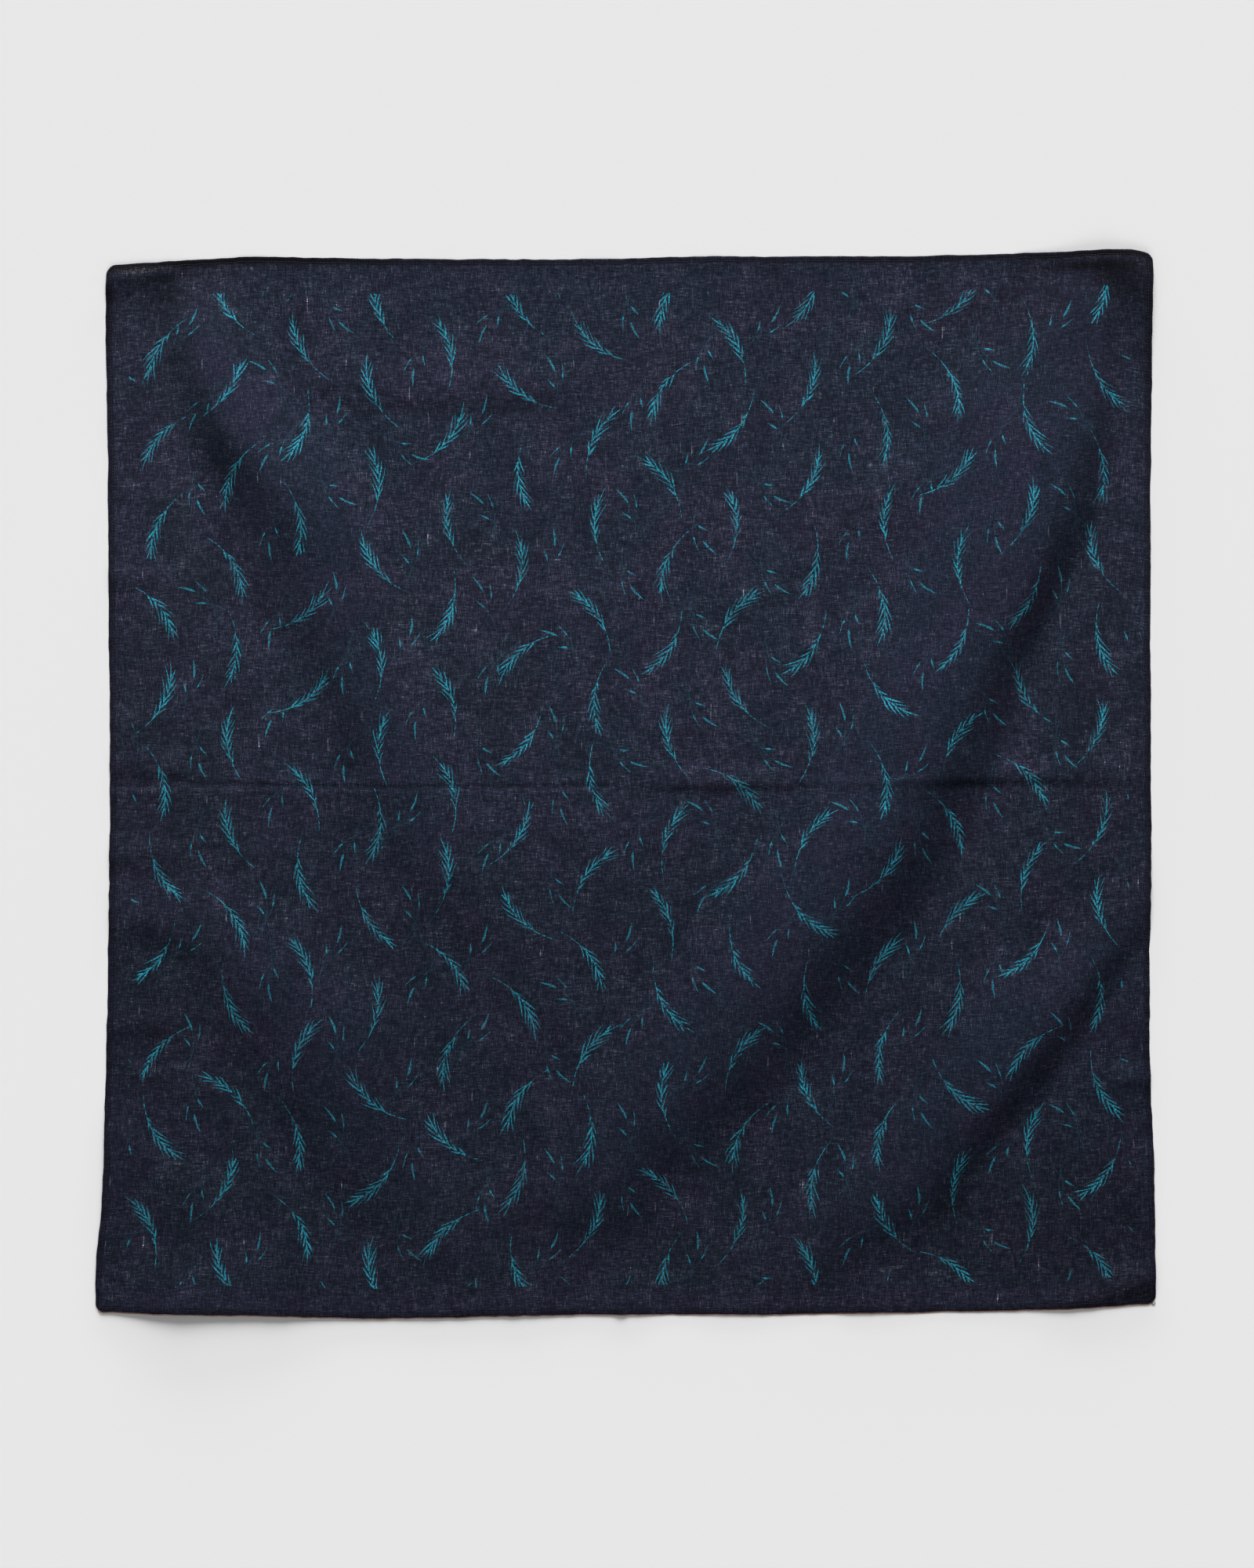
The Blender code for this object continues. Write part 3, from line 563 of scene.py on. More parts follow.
def grid_lines(band):
    """Places from -1 to 1 of the grid lines: those of the hem's section at each edge, plain lines at
    an even pitch, and closer ones across the band of a pressed crease."""
    hem_lines = np.array([row[0] for row in HEM_SECTION])
    inner = HALF_SIDE - hem_lines[-1]
    plain = np.linspace(-inner, inner, round(2 * inner / PLAIN_PITCH) + 1)
    first, last, apart = band
    plain = plain[(plain < first - 0.5 * PLAIN_PITCH) | (plain > last + 0.5 * PLAIN_PITCH)]
    rim = HALF_SIDE - hem_lines[:-1]
    return np.sort(np.concatenate((-rim, plain, np.arange(first, last, apart), rim))) / HALF_SIDE


def bell_places(table, u, v):
    """The strength of a table's places over the places u, v of the square: each is a bell curve along
    its length and across its width."""
    x, y = HALF_SIDE * u, HALF_SIDE * v
    total = np.zeros_like(x)
    for middle_x, middle_y, length, width, turn, strength in table:
        turn = np.radians(turn)
        along = (x - middle_x) * np.cos(turn) + (y - middle_y) * np.sin(turn)
        across = (y - middle_y) * np.cos(turn) - (x - middle_x) * np.sin(turn)
        total += strength * np.exp(-((along / length) ** 2) - (across / width) ** 2)
    return total


# Meshes

def mesh_object(name, points, quads, material):
    """An object at the origin whose mesh has these points and four-sided faces, shaded smooth."""
    mesh = bpy.data.meshes.new(name)
    mesh.vertices.add(len(points))
    mesh.vertices.foreach_set("co", np.ravel(points))
    mesh.loops.add(quads.size)
    mesh.loops.foreach_set("vertex_index", np.ravel(quads))
    mesh.polygons.add(len(quads))
    mesh.polygons.foreach_set("loop_start", np.arange(0, quads.size, 4))
    mesh.update(calc_edges=True)
    mesh.validate()
    mesh.shade_smooth()
    mesh.materials.append(material)
    made = bpy.data.objects.new(name, mesh)
    bpy.context.scene.collection.objects.link(made)
    return made


def add_map(mesh, name, places):
    """Add a UV map that holds these places, one for each corner of each face."""
    layer = mesh.uv_layers.new(name=name)
    layer.data.foreach_set("uv", np.ravel(places))


def between(limits, share):
    """The place at this share of the way from the first limit to the second."""
    return limits[0] + (limits[1] - limits[0]) * share


def walls_between(rings):
    """The quads of a round wall through rings of points. Each row holds the numbers of one ring."""
    after = np.roll(rings, -1, axis=1)
    return np.stack((rings[:-1], rings[1:], after[1:], after[:-1]), axis=-1).reshape(-1, 4)


def tubes(paths, radii):
    """Closed six-sided tubes along paths of equal length. Each ring stands upright across its path,
    as a regular hexagon of that radius, and a pair of quads closes each end.
    paths is (tubes, rings, 3) and radii is (rings)."""
    sides = 6
    count, rings, _ = paths.shape
    ahead = np.gradient(paths, axis=1)
    aside = np.stack((-ahead[..., 1], ahead[..., 0], np.zeros((count, rings))), axis=-1)
    aside /= np.linalg.norm(aside, axis=-1, keepdims=True)
    turn = np.arange(sides) * 2 * np.pi / sides
    upright = np.array((0.0, 0.0, 1.0))
    spoke = aside[:, :, None] * np.cos(turn)[:, None] + upright * np.sin(turn)[:, None]
    points = paths[:, :, None] + radii[:, None, None] * spoke
    walls = walls_between(np.arange(rings * sides).reshape(rings, sides))
    cap = np.array(((0, 1, 2, 3), (0, 3, 4, 5)))
    quads = np.concatenate((walls, cap, cap[:, ::-1] + (rings - 1) * sides))
    first = np.arange(count)[:, None, None] * rings * sides
    return points.reshape(-1, 3), (first + quads).reshape(-1, 4)


def sheet_quads(index, ring):
    """The quads of a closed sheet, as four arrays: the face, the underside, and the lower and the
    upper half of the rim. The points are numbered in the order face, underside and rim, index holds
    the grid of the face's numbers, and ring holds those along its edge."""
    upper = np.stack((index[:-1, :-1], index[:-1, 1:], index[1:, 1:], index[1:, :-1]), axis=-1)
    upper = upper.reshape(-1, 4)
    lower = upper[:, ::-1] + index.size
    ring_below = ring + index.size
    middle = 2 * index.size + np.arange(len(ring))
    middle_after, ring_after, below_after = (np.roll(row, -1) for row in (middle, ring, ring_below))
    rim_lower = np.stack((ring_below, below_after, middle_after, middle), axis=-1)
    rim_upper = np.stack((middle, middle_after, ring_after, ring), axis=-1)
    return upper, lower, rim_lower, rim_upper


def bulged_rim(under, face, bulge):
    """The ring of points halfway between the edges of the two sides, pushed out by its bulges."""
    rim = 0.5 * (under + face)
    ahead = np.roll(rim, -1, axis=0) - np.roll(rim, 1, axis=0)
    outward = np.column_stack((ahead[:, 1], -ahead[:, 0]))
    rim[:, :2] += bulge[:, None] * outward / np.linalg.norm(outward, axis=1, keepdims=True)
    return rim


def sheet_places(square, upper, around):
    """Places on the bake map for a closed sheet: the face and the reverse side by side, and between
    them the rim as two narrow strips."""
    share = 0.5 + 0.5 * square
    face, reverse = (np.column_stack((between(part, share[:, 0]), between(BAKE_UP, share[:, 1])))
                     for part in (BAKE_FACE, BAKE_REVERSE))
    start = np.arange(around) / around
    stop = start + 1 / around
    up = between(BAKE_UP, np.stack((start, stop, stop, start), axis=-1))
    strips = []
    for low, high in ((0.0, 0.45), (0.55, 1.0)):
        across = between(BAKE_RIM, np.array((low, low, high, high)))
        strips.append(np.stack(np.broadcast_arrays(across, up), axis=-1).reshape(-1, 2))
    return np.concatenate((face[upper.ravel()], reverse[upper[:, ::-1].ravel()], *strips))


def stitch_places(stitches, faces):
    """Places on the bake map for many like stitches: a square of cells, one for each stitch, in
    which the faces lie side by side."""
    cells = int(np.ceil(np.sqrt(stitches)))
    cell = np.arange(stitches)
    corner_x = np.array((0.1, 0.9, 0.9, 0.1))
    corner_y = np.array((0.1, 0.1, 0.9, 0.9))
    across = cell[:, None, None] % cells + (np.arange(faces)[:, None] + corner_x) / faces
    up = cell[:, None, None] // cells + corner_y + 0 * across
    return np.stack((across, up), axis=-1) / cells


# Materials

class Wire:
    """One value of a material. A sum or product of wires adds the Math node that works it out."""

    def __init__(self, tree, socket):
        self.tree = tree
        self.socket = socket

    def __add__(self, other):
        return calc(self.tree, "ADD", self, other)

    def __sub__(self, other):
        return calc(self.tree, "SUBTRACT", self, other)

    def __rsub__(self, other):
        return calc(self.tree, "SUBTRACT", other, self)

    def __mul__(self, other):
        return calc(self.tree, "MULTIPLY", self, other)

    def __truediv__(self, other):
        return calc(self.tree, "DIVIDE", self, other)

    __radd__ = __add__
    __rmul__ = __mul__

    def apply(self, operation, *others):
        """The result of any operation of the Math node on this value."""
        return calc(self.tree, operation, self, *others)


def plug(tree, socket, value):
    """Link a wire to a socket, or set the socket to a plain number, place or colour."""
    if isinstance(value, Wire):
        tree.links.new(value.socket, socket)
    else:
        socket.default_value = value


def node(tree, kind, inputs, output=0, **settings):
    """Add a node with these settings and inputs, and return the wire of one of its outputs."""
    made = tree.nodes.new(kind)
    for name, value in settings.items():
        setattr(made, name, value)
    for name, value in inputs.items():
        plug(tree, made.inputs[name], value)
    return Wire(tree, made.outputs[output])


def calc(tree, operation, *values):
    """The result of a Math node."""
    return node(tree, "ShaderNodeMath", dict(enumerate(values)), operation=operation)


def step_up(value, low, high):
    """0 below the low value, 1 above the high one and a smooth step between them."""
    return node(value.tree, "ShaderNodeMapRange", {"Value": value, "From Min": low, "From Max": high},
                interpolation_type="SMOOTHSTEP")


def place_of(x, y, z):
    """The vector of three values."""
    return node(x.tree, "ShaderNodeCombineXYZ", {"X": x, "Y": y, "Z": z})


def noise(x, y, seed):
    """Soft noise about 0, with features one unit long, that differs for each seed."""
    place = place_of(x, y, seed)
    return node(x.tree, "ShaderNodeTexNoise", {"Vector": place, "Scale": 1.0, "Detail": 0.0}) - 0.5


def blend(share, first, second):
    """The first colour at a share of 0, and the second at 1."""
    return node(share.tree, "ShaderNodeMixRGB", {"Fac": share, "Color1": first, "Color2": second})


def tinted(colour, strength):
    """A colour times a strength."""
    return node(colour.tree, "ShaderNodeVectorMath", {0: colour, "Scale": strength}, operation="SCALE")


def plain_colour(tree, colour):
    """One colour, as a wire."""
    made = node(tree, "ShaderNodeRGB", {})
    made.socket.default_value = (*colour, 1.0)
    return made


def parts_of(vector):
    """The three parts of a place or colour."""
    parts = node(vector.tree, "ShaderNodeSeparateXYZ", {"Vector": vector}).socket.node
    return [Wire(vector.tree, part) for part in parts.outputs]


def chances(column, row, seed):
    """Three random values from 0 to 1 for each cell, given by whole numbers."""
    return parts_of(node(column.tree, "ShaderNodeTexWhiteNoise", {"Vector": place_of(column, row, seed)},
                         output="Color"))


def in_millimetres(vector):
    """The first two parts of a place that is given in metres."""
    return [part * 1000.0 for part in parts_of(vector)[:2]]


def new_material(name):
    """A material with its node tree and its Principled shader."""
    material = bpy.data.materials.new(name)
    material.use_nodes = True
    return material, material.node_tree, material.node_tree.nodes["Principled BSDF"]


def add_bump(surface, height, strength, millimetres):
    """Bump the surface by a height from 0 to 1 that stands for this many millimetres."""
    bump = node(height.tree, "ShaderNodeBump",
                {"Height": height, "Strength": strength, "Distance": millimetres * MM})
    plug(height.tree, surface.inputs["Normal"], bump)


def leaf_shape(share):
    """Half width of a brushed leaf: 0 at a share of 0 and 1 of its length, and about 1 at a third."""
    return share.apply("MAXIMUM", 0.0).apply("POWER", 0.6) * (1.0 - share) * 2.9


def inked(half_width, off_middle):
    """Ink of a stroke, with a soft edge where the distance off its middle passes its half width."""
    return step_up(half_width - off_middle.apply("ABSOLUTE"), -0.10, 0.12)


def brushed(share, off_middle, seed):
    """How much of a stroke's ink is left: fine hairs run along it, and it dries out to its tip."""
    hairs = noise(share * 1.6, off_middle * 3.0, seed)
    return step_up(hairs + 0.26 - share * 0.22, 0.04, 0.26)


def sprig(x, y, seed, sizes):
    """Ink of one willow sprig about the origin, pointing up. The stem is a parabola, and trails on
    below as a broken line. A leaf is found from the foot of a line that runs down to the stem at the
    leaf angle: the foot is rounded to the nearest leaf, and the rest of it is how far the point lies
    off that leaf's middle."""
    half = 500 * sizes.sprig_length
    pitch = 1000 * sizes.leaf_pitch
    length = 1000 * sizes.leaf_length
    slant = float(np.sin(sizes.leaf_angle))
    height = y / half
    aside = x - STEM_BEND * (height * height - 0.4)
    away = aside.apply("ABSOLUTE")
    side = aside.apply("SIGN")
    foot = y + side * (0.25 * pitch) - away / float(np.tan(sizes.leaf_angle)) - 0.06 * away * away
    leaf = (foot / pitch).apply("ROUND")
    leaf_foot = leaf * pitch
    off_middle = (foot - leaf_foot) * slant
    chance = noise(leaf * 5.3 + side * 1.7, seed, 45.0)
    taper = 1.0 - 0.5 * (leaf_foot / half).apply("POWER", 2.0) + 1.1 * chance
    share = away / (length * slant * taper)
    on_stem = (leaf_foot - 0.1 * half).apply("ABSOLUTE").apply("LESS_THAN", 0.88 * half)
    leaves = inked(leaf_shape(share) * (500 * sizes.leaf_width), off_middle) * on_stem
    leaves = leaves * brushed(share, off_middle, leaf * 3.7 + seed)
    end_share = (y - 0.9 * half) / (0.8 * length)
    end_leaf = inked(leaf_shape(end_share) * (440 * sizes.leaf_width), aside)
    end_leaf = end_leaf * brushed(end_share, aside, seed)
    broken = step_up(noise(y / 2.2, seed, 46.0) + 0.08 + 0.004 * y, -0.05, 0.05)
    on_tail = (y + 0.32 * half).apply("ABSOLUTE").apply("LESS_THAN", 1.32 * half)
    stem = inked(0.26 + 0.004 * y, aside) * broken * on_tail
    return leaves.apply("MAXIMUM", end_leaf).apply("MAXIMUM", stem * 0.85)


def loose_leaf(x, y, turn, length, width):
    """Ink of one bent leaf that starts at the origin and points up, turned by an angle."""
    cos, sin = float(np.cos(turn)), float(np.sin(turn))
    along = y * cos - x * sin
    share = along / length
    off_middle = x * cos + y * sin + 0.02 * along * along
    return inked(leaf_shape(share) * width, off_middle) * brushed(share, off_middle, turn)


def turned(x, y, angle):
    """The place of a point in a frame that is turned by an angle."""
    cos, sin = angle.apply("COSINE"), angle.apply("SINE")
    return x * cos + y * sin, y * cos - x * sin


def printed_ink(x, y, sizes):
    """Ink of the whole print, which is tossed sprigs. Each column of cells is set half a cell higher
    than the last, and the sprig in a cell is shifted, turned off upright, and half the time mirrored
    or upside down, by chance. Loose leaves lie between the columns in the same way. Outside the
    margins the cloth is bare."""
    width = 1000 * sizes.repeat_across
    height = 1000 * sizes.repeat_up
    wander_x = x + 0.5 * noise(x * 0.8, y * 0.8, 41.0)
    wander_y = y + 0.5 * noise(x * 0.8, y * 0.8, 43.0)
    column = (wander_x / width).apply("FLOOR")
    raised = wander_y - column.apply("FLOORED_MODULO", 2.0) * (0.5 * height)
    row = (raised / height).apply("FLOOR")
    lean, flip, shift = chances(column, row, 1.0)
    upside_down = (row + (flip * 1.6).apply("FLOOR")).apply("FLOORED_MODULO", 2.0)
    mirrored = 1.0 - 2.0 * (flip * 4.0).apply("FLOORED_MODULO", 1.0).apply("ROUND")
    across = wander_x - (column + 0.5) * width + (shift - 0.5) * CELL_SHIFT
    up = raised - (row + 0.5) * height + (flip - 0.5) * CELL_SHIFT
    across, up = turned(across, up, (lean * 2.0 - 1.0) * sizes.toss + upside_down * np.pi)
    ink = sprig(across * mirrored, up, column * 7.1 + row * 3.3, sizes)

    gap = (wander_x / width).apply("ROUND")
    gap_raised = wander_y / height - 0.5 * gap.apply("FLOORED_MODULO", 2.0) + 0.25
    gap_row = gap_raised.apply("FLOOR")
    lean, flip, shift = chances(gap, gap_row, 2.0)
    across, up = turned(wander_x - gap * width, (gap_raised - gap_row - 0.5) * height,
                        (lean * 2.0 - 1.0) * sizes.toss + flip.apply("ROUND") * np.pi)
    for leaf_x, leaf_y, turn, length, half_width in LOOSE_LEAVES:
        leaf = loose_leaf(across - leaf_x, up - leaf_y, np.radians(turn), length, half_width)
        ink = ink.apply("MAXIMUM", leaf * 0.8)
    ragged = 0.8 * noise(x * 0.5, y * 0.5, 47.0)
    inside = (x.apply("ABSOLUTE") + ragged).apply("LESS_THAN", HALF_SIDE - 1000 * sizes.side_margin)
    below = (y + ragged).apply("LESS_THAN", HALF_SIDE - 1000 * sizes.top_margin)
    above = (y + ragged).apply("GREATER_THAN", 1000 * sizes.bottom_margin - HALF_SIDE)
    return ink * inside * below * above


def thread_place(place, width):
    """Where in the noise the thread at a place lies: one value over its width, and another on the next
    thread."""
    return (place / width).apply("FLOOR") * NEXT_THREAD


def woven_grain(x, y, clear, thread_pitch):
    """The weave, and the grain, which is how much paler or darker than its mean the cloth is: uneven
    threads that run both ways, a soft mottle, and rare pale upright threads."""
    wave = np.pi / (1000 * thread_pitch)
    wander_x = x + 0.7 * noise(x / 9.0, y / 9.0, 51.0)
    wander_y = y + 0.7 * noise(x / 9.0, y / 9.0, 52.0)
    weave = (wander_x * wave).apply("SINE") * (wander_y * wave).apply("SINE")
    evened = 1.0 - EVENED_SHARE * clear
    grain = weave * 0.10
    for width, stretch, strength, seed in THREADS:
        warp = noise(thread_place(wander_x, width), y / stretch, seed)
        weft = noise(x / stretch, thread_place(wander_y, width), seed + 20.0)
        grain = grain + strength * (evened if width > COARSE else 1.0) * (warp + weft)
    for across, up, strength, seed in GRAIN:
        grain = grain + strength * (evened if across > COARSE else 1.0) * noise(x / across, y / up, seed)
    width, stretch, strength, seed = SLUBS
    slub = noise(thread_place(wander_x, width), y / stretch, seed)
    return weave, grain + strength * step_up(slub, 0.30, 0.38)


def drifting_dye(x, y, cloth):
    """Colour of the dyed thread. It drifts towards purple in patches, and more so along the bottom
    edge, and it leans to green in from the left and the bottom."""
    drift = noise(x / 30.0, y / 38.0, 61.0) + 0.5 * noise(x / 7.0, y / 10.0, 62.0)
    at_side = step_up((x * -1.0).apply("MAXIMUM", -15.0 - y) - 60.0 * drift, 165.0, 240.0)
    cool = blend(at_side * 0.8, (*cloth.dye, 1.0), (*cloth.cool_dye, 1.0))
    at_bottom = step_up(y * -1.0, HALF_SIDE - 18.0, HALF_SIDE - 6.0)
    return blend(step_up(drift + 0.3 * at_bottom, -0.14, 0.22), cool, (*cloth.warm_dye, 1.0))


def painted_glow_share(x, y, inward):
    """How much of the warm glow is painted along the fold of the hem: most at the bottom edge, a
    little at the sides and none at the top, and unevenly."""
    at_bottom = y.apply("LESS_THAN", 1.0 - HALF_SIDE)
    at_top = y.apply("GREATER_THAN", HALF_SIDE - 1.0)
    uneven = 1.0 + 1.2 * noise(x / 2.5, y / 2.5, 63.0)
    return (0.06 + 0.75 * at_bottom - 0.06 * at_top) * uneven * (1.0 - step_up(inward, 0.0, 0.10))


def cotton(cloth, print_sizes):
    """Thin plain-woven cotton, dyed navy and printed in teal, on the cloth's own flat map. The grain
    opens the gaps that the pale floor shows through and shades the dye, and the hem is closed and
    dark. The places of painted shade are closed and darkened too, raised cloth shows less of the
    pale floor as painted shade, the hem is painted paler towards the bottom as painted light, a warm
    glow is painted along its fold, and painted highlights lie on the hems among the thin places."""
    material, tree, surface = new_material("printed cotton")
    x, y = in_millimetres(node(tree, "ShaderNodeUVMap", {}, uv_map="flat"))
    thin, deep, lift, face = (node(tree, "ShaderNodeAttribute", {}, output=2, attribute_name=name)
                              for name in ("thin", "deep", "lift", "face"))
    # How far the cloth is raised: raised cloth is painted with less of the pale floor, as painted shade
    clear = step_up(lift, *CLEAR_OF_FLOOR)
    weave, grain = woven_grain(x, y, clear, cloth.thread_pitch)

    inward = HALF_SIDE - x.apply("ABSOLUTE").apply("MAXIMUM", y.apply("ABSOLUTE"))
    hem_width = 1000 * cloth.hem_width
    within = step_up(inward, hem_width - 0.3, hem_width + 0.2)
    # The hem is closed, and the places of painted shade and the thin places take its dye too
    closed = (1.0 - within).apply("MAXIMUM", deep * 2.0).apply("MAXIMUM", thin * 60.0)
    dye = blend(closed, drifting_dye(x, y, cloth), (*cloth.hem_and_shade_dye, 1.0))
    # The thin places, among them the painted highlights on the hems, are painted with the pale floor
    gaps = (thin + cloth.openness * (0.3 + 0.7 * within)) * (1.0 - 0.3 * clear)
    through = gaps * (grain * GRAIN_OPENS).apply("EXPONENT")
    bare = blend(through, dye, (*cloth.showing_through, 1.0))
    # The hem is painted paler towards the bottom, where less lamp light falls on it, so that it looks as
    # bright there as at the top: painted light.
    hem_depth = cloth.hem_depth * (1.07 - 0.0007 * y)
    depth = (hem_depth + (1.0 - hem_depth) * within) * (grain * GRAIN_SHADES).apply("EXPONENT")
    # Paint the places of painted shade darker by the share of the light that they lose
    bare = tinted(bare, depth * (1.0 - deep))
    # Paint the warm glow along the fold of the hem, most at the bottom edge
    bare = blend(painted_glow_share(x, y, inward), bare, (*cloth.painted_warm_glow, 1.0))

    bite = step_up(noise(x / 0.45, y / 0.6, 71.0) + 0.5 * noise(x / 1.4, y / 1.4, 72.0), -0.20, 0.02)
    through_cloth = print_sizes.struck_through + (1.0 - print_sizes.struck_through) * face
    ink = printed_ink(x, y, print_sizes) * (0.2 + 0.8 * bite) * through_cloth
    fine_tone = 1.0 + 1.5 * noise(x / 0.9, y / 0.9, 73.0)
    broad_tone = 1.0 + 0.6 * noise(x / 24.0, y / 24.0, 74.0)
    ink_colour = tinted(plain_colour(tree, print_sizes.ink), fine_tone * broad_tone)

    plug(tree, surface.inputs["Base Color"], blend(ink, bare, ink_colour))
    plug(tree, surface.inputs["Roughness"], cloth.roughness - 0.14 * ink)
    surface.inputs["Specular IOR Level"].default_value = 0.12
    add_bump(surface, weave * 0.35 + grain * 0.5, 0.6, 0.12)
    return material


def sewing_thread(colour):
    """Matt navy sewing thread of uneven tone, with a fine twist that bumps it and whose turns are painted
    paler and darker, as painted light and shade.
    """
    material, tree, surface = new_material("sewing thread")
    x, y = in_millimetres(node(tree, "ShaderNodeTexCoord", {}, output="Object"))
    twist = ((x + y) * 14.0).apply("SINE") * 0.25 + noise(x / 0.9, y / 0.9, 81.0)
    # The sine paints the turns of the twist paler and darker, as painted light and shade; the noise is the
    # thread's own uneven tone.
    twist_shade_and_tone = (1.0 + twist).apply("MAXIMUM", 0.3)
    plug(tree, surface.inputs["Base Color"], tinted(plain_colour(tree, colour), twist_shade_and_tone))
    surface.inputs["Roughness"].default_value = 0.7
    add_bump(surface, twist, 0.5, 0.05)
    return material


# The pieces

class BANDANA_OT_stitches(bpy.types.Operator):
    """Sew the row of stitches round the hem, on the face and on the reverse"""
    bl_idname = "bandana.stitches"
    bl_label = "Hem stitches"

    def execute(self, context):
        thread = context.scene.bandana_thread
        inset = 1 - thread.inset / MM / HALF_SIDE
        count = round(2 * HALF_SIDE * inset / (thread.pitch / MM))
        random = np.random.default_rng(21)
        middle = (np.arange(count) + 0.5) / count * 2 - 1
        reach = 0.5 * thread.length / MM / HALF_SIDE
        stations = np.array(STITCH_STATIONS)
        along = middle[:, None] * inset + reach * stations
        aside = inset + random.normal(0, STITCH_WANDER, (4, count, 1)) + 0 * stations
        u = np.concatenate((along, along, aside[0], -aside[1]))
        v = np.concatenate((aside[2], -aside[3], along, along))
        under, face = (side.reshape(*u.shape, 3) for side in cloth_points(u.ravel(), v.ravel()))
        radius = thread.radius
        arch = radius * (1 - 1.5 * stations ** 2)
        face[..., 2] += 0.6 * arch
        under[..., 2] = np.maximum(under[..., 2] - 0.3 * arch, radius * (0.9 + 0.4 * stations ** 2))
        paths = np.concatenate((face, under))
        points, quads = tubes(paths, radius * np.array(STITCH_THICKNESS))
        made = mesh_object("hem_stitches", points, quads, sewing_thread(thread.colour))
        add_map(made.data, "OFBake", stitch_places(len(paths), len(quads) // len(paths)))
        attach(made, "root")
        return {"FINISHED"}


class BANDANA_OT_thread_loop(bpy.types.Operator):
    """Leave the small loop of thread at the lower right corner"""
    bl_idname = "bandana.thread_loop"
    bl_label = "Thread loop"

    def execute(self, context):
        thread = context.scene.bandana_thread
        rounds, sides = 32, 8
        turn, spin = np.meshgrid(np.arange(rounds) * 2 * np.pi / rounds,
                                 np.arange(sides) * 2 * np.pi / sides, indexing="ij")
        out = 0.5 * thread.loop_size + thread.radius * np.cos(spin)
        _, corner = cloth_points(np.array((1.0,)), np.array((-1.0,)))
        middle = corner[0] + np.array((0.35, -1.0, -0.1)) * MM
        height = thread.radius * np.sin(spin) + 0.25 * MM * np.sin(turn)
        points = middle + np.stack((out * np.cos(turn), 0.85 * out * np.sin(turn), height), axis=-1)
        index = np.arange(rounds * sides).reshape(rounds, sides)
        quads = walls_between(np.vstack((index, index[:1])))
        made = mesh_object("thread_loop", points.reshape(-1, 3), quads, sewing_thread(thread.colour))
        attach(made, "root")
        return {"FINISHED"}


class BANDANA_OT_cloth(bpy.types.Operator):
    """Make the printed cloth with its turned hem, which the stitches and the thread loop go with"""
    bl_idname = "bandana.cloth"
    bl_label = "Printed cloth"

    def execute(self, context):
        columns = grid_lines(UPRIGHT_CREASE_BAND)
        rows = grid_lines(CROSS_CREASE_BAND)
        v, u = (side.ravel() for side in np.meshgrid(rows, columns, indexing="ij"))
        under, face = cloth_points(u, v)
        index = np.arange(u.size).reshape(len(rows), len(columns))
        ring = np.concatenate((index[0, :-1], index[:-1, -1], index[-1, :0:-1], index[:0:-1, 0]))
        bulge = np.where(v[ring] > -1, RIM_BULGE, LOWER_RIM_BULGE) * MM
        points = np.concatenate((face, under, bulged_rim(under[ring], face[ring], bulge)))
        upper, lower, rim_lower, rim_upper = sheet_quads(index, ring)
        quads = np.concatenate((upper, lower, rim_lower, rim_upper))
        scene = context.scene
        made = mesh_object("printed_cloth", points, quads, cotton(scene.bandana_cloth, scene.bandana_print))

        square = np.column_stack((u, v))
        flat = np.concatenate((square, square, square[ring])) * HALF_SIDE * MM
        add_map(made.data, "flat", flat[quads])
        add_map(made.data, "OFBake", sheet_places(square, upper, len(ring)))
        beyond_face = np.zeros(len(points) - len(face))
        # The thin places with the painted highlights on the hems, the places of painted shade, and the
        # height of the underside
        places = {"thin": bell_places(SHEER_AND_HIGHLIGHT_PLACES, u, v), "deep": bell_places(PAINTED_SHADE_PLACES, u, v),
                  "lift": under[:, 2] / MM}
        for name, value in places.items():
            made.data.attributes.new(name, "FLOAT", "POINT").data.foreach_set(
                "value", np.concatenate((value, beyond_face)))
        printed = np.ones(len(quads))
        printed[len(upper):-len(rim_upper)] = 0.0
        made.data.attributes.new("face", "FLOAT", "FACE").data.foreach_set("value", printed)
        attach(made, "root")
        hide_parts("bandana")
        return {"FINISHED"}


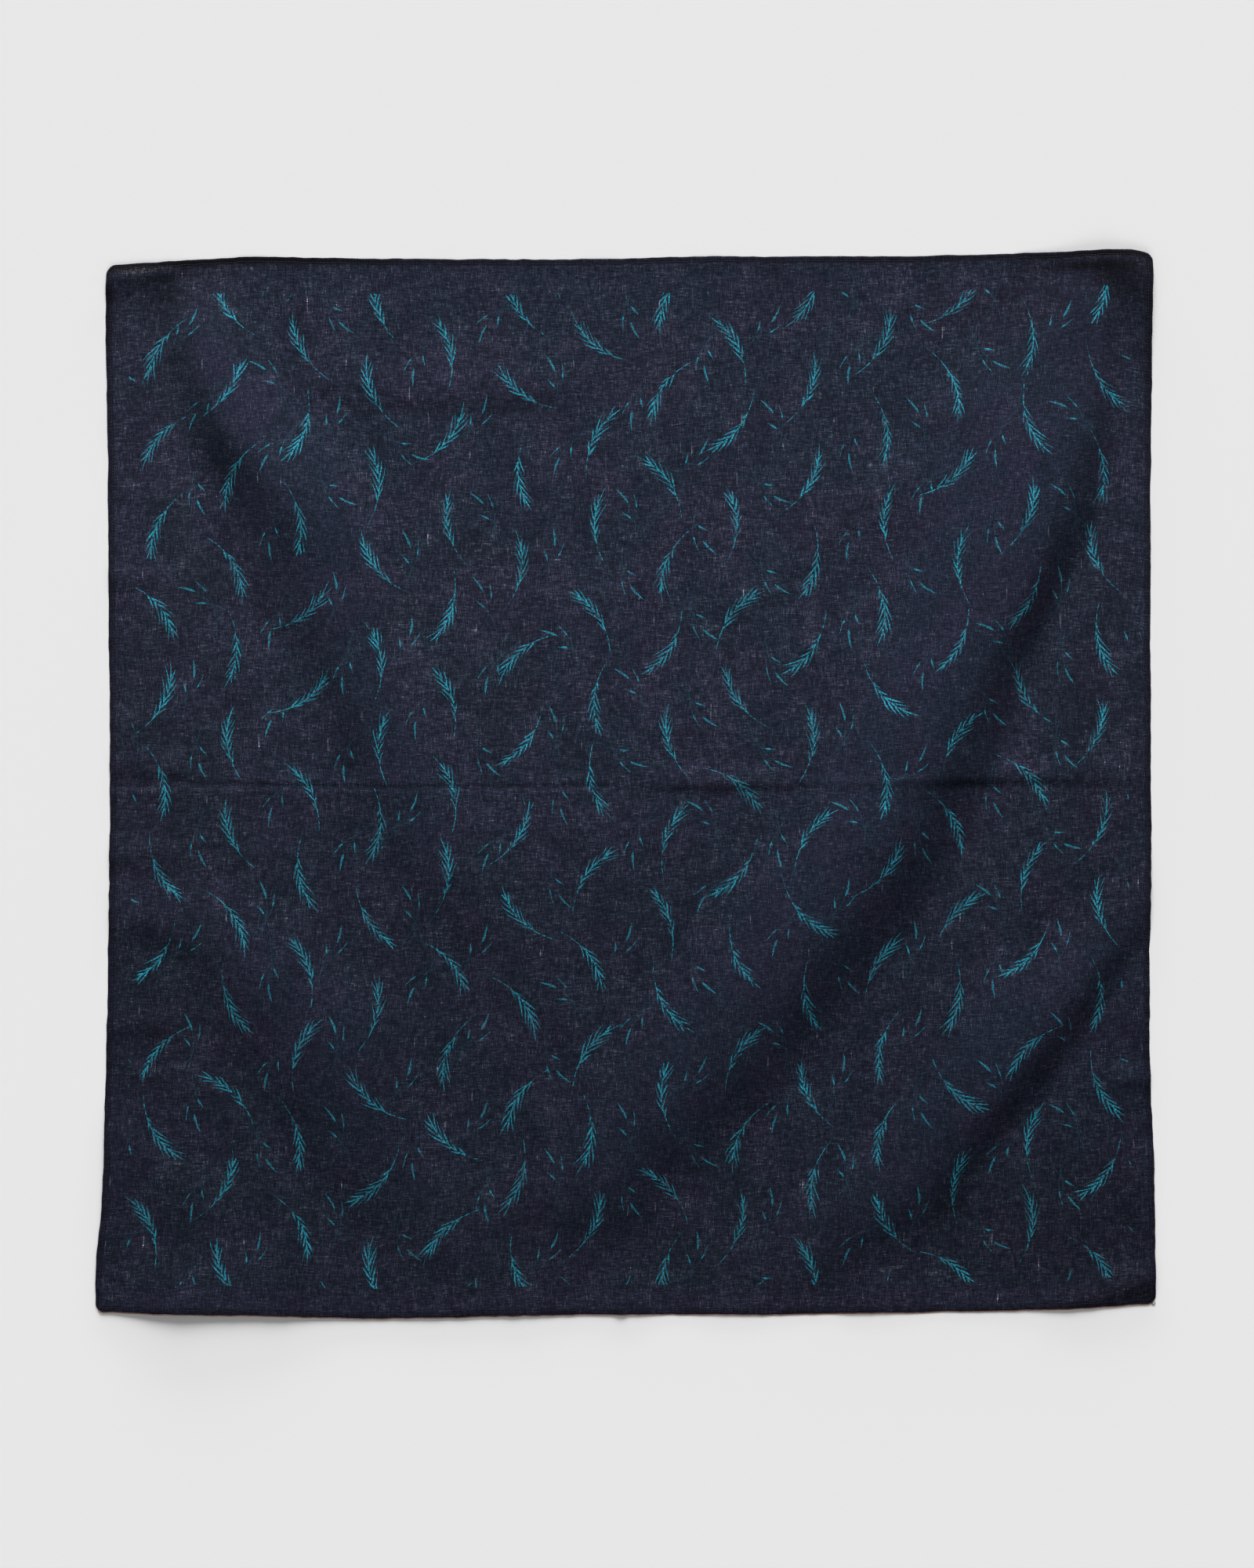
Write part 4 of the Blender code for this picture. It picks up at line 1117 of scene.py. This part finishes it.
class BANDANA_OT_stage(bpy.types.Operator):
    """Set up the floor, the lights and the camera"""
    bl_idname = "bandana.stage"
    bl_label = "Stage"

    def execute(self, context):
        stage = context.scene.bandana_stage
        half = 0.5 * stage.floor_size
        corners = np.array(((-half, -half, 0), (half, -half, 0), (half, half, 0), (-half, half, 0)))
        paint, _, surface = new_material("floor paint")
        surface.inputs["Base Color"].default_value = (*stage.floor_colour, 1.0)
        surface.inputs["Roughness"].default_value = 0.95
        surface.inputs["Specular IOR Level"].default_value = 0.0
        floor = mesh_object("floor", corners, np.array(((0, 1, 2, 3),)), paint)

        world = bpy.data.worlds.new("even light")
        world.use_nodes = True
        sky = world.node_tree.nodes["Background"]
        sky.inputs["Color"].default_value = (1.0, 1.0, 1.0, 1.0)
        sky.inputs["Strength"].default_value = stage.light * stage.even_share
        context.scene.world = world

        self.sun(context, "key", stage.key_share, stage.key_height, 1)
        fill = self.sun(context, "fill light", stage.fill_share, stage.fill_height, -1)
        low = bpy.data.lights.new("low light", "AREA")
        low.energy = stage.low
        low.shape = "RECTANGLE"
        low.size, low.size_y = LOW_LIGHT_SIZE
        start = Vector(LOW_LIGHT_PLACE)
        low = self.place(context, low, start, -start)
        for lamp in (low, fill):
            self.light_only(lamp, floor)

        upper = bpy.data.lights.new("upper light", "SPOT")
        upper.energy = stage.upper
        upper.color = (1.0, 0.96, 0.96)
        upper.shadow_soft_size = 0.04
        upper.spot_size = np.radians(120)
        upper.spot_blend = stage.upper_fade
        start = Vector(UPPER_LIGHT_PLACE)
        to_edge = Vector((0, stage.upper_edge, 0)) - start
        toward = Matrix.Rotation(0.5 * upper.spot_size, 3, "X") @ to_edge
        lamp = self.place(context, upper, start, toward)
        pieces = ("printed_cloth", "hem_stitches", "thread_loop")
        self.light_only(lamp, *(bpy.data.objects[name] for name in pieces))

        camera = bpy.data.cameras.new("camera")
        camera.sensor_width = 36.0
        camera.lens = camera.sensor_width * stage.camera_height / stage.view_height
        camera.clip_end = 100.0
        eye = Vector((*CAMERA_OFF_MIDDLE, stage.camera_height))
        context.scene.camera = self.place(context, camera, eye, Vector((0, 0, -1)))
        context.scene.view_settings.view_transform = "Standard"
        return {"FINISHED"}

    def place(self, context, data, where, toward):
        """Put a lamp or camera at a place, turned so that it looks along a direction."""
        made = bpy.data.objects.new(data.name, data)
        made.location = where
        made.rotation_euler = toward.to_track_quat("-Z", "Y").to_euler()
        context.scene.collection.objects.link(made)
        return made

    def sun(self, context, name, share, height, side):
        """A soft sun over the top edge for a side of 1, or over the bottom edge for -1, that gives
        this share of the light on the floor."""
        stage = context.scene.bandana_stage
        made = bpy.data.lights.new(name, "SUN")
        made.energy = stage.light * share * np.pi / np.sin(height)
        made.angle = stage.key_spread
        toward = Vector((0, -side * np.cos(height), -np.sin(height)))
        return self.place(context, made, Vector((0, 3 * side, 2)), toward)

    def light_only(self, lamp, *objects):
        """Let a lamp light only these objects. All others still throw shadows in it."""
        lit = bpy.data.collections.new("lit by " + lamp.name)
        for made in objects:
            lit.objects.link(made)
        lamp.light_linking.receiver_collection = lit


class BANDANA_PT_panel(bpy.types.Panel):
    """Sizes, colours and steps of the bandana"""
    bl_idname = "BANDANA_PT_panel"
    bl_label = "Bandana"
    bl_space_type = "VIEW_3D"
    bl_region_type = "UI"
    bl_category = "Bandana"

    def draw(self, context):
        for step, settings in STEPS:
            box = self.layout.box()
            box.operator(step.bl_idname)
            for group in settings:
                values = getattr(context.scene, group)
                for name in values.__annotations__:
                    box.prop(values, name)


STEPS = (
    (BANDANA_OT_stitches, ("bandana_thread",)),
    (BANDANA_OT_thread_loop, ()),
    (BANDANA_OT_cloth, ("bandana_cloth", "bandana_print")),
    (BANDANA_OT_stage, ("bandana_stage",)),
)
SETTINGS = {
    "bandana_cloth": BandanaCloth,
    "bandana_print": BandanaPrint,
    "bandana_thread": BandanaThread,
    "bandana_stage": BandanaStage,
}


def register():
    """Add the settings, the steps and the panel to Blender."""
    for kind in (*SETTINGS.values(), *(step for step, _ in STEPS), BANDANA_PT_panel):
        bpy.utils.register_class(kind)
    for name, kind in SETTINGS.items():
        setattr(bpy.types.Scene, name, PointerProperty(type=kind))


def unregister():
    """Take the settings, the steps and the panel out again."""
    for name in SETTINGS:
        delattr(bpy.types.Scene, name)
    for kind in (BANDANA_PT_panel, *(step for step, _ in STEPS), *SETTINGS.values()):
        bpy.utils.unregister_class(kind)


def main():
    """Make the pieces and the stage."""
    register()
    bpy.ops.bandana.stitches()
    bpy.ops.bandana.thread_loop()
    bpy.ops.bandana.cloth()
    bpy.ops.bandana.stage()


if __name__ == "__main__":
    main()
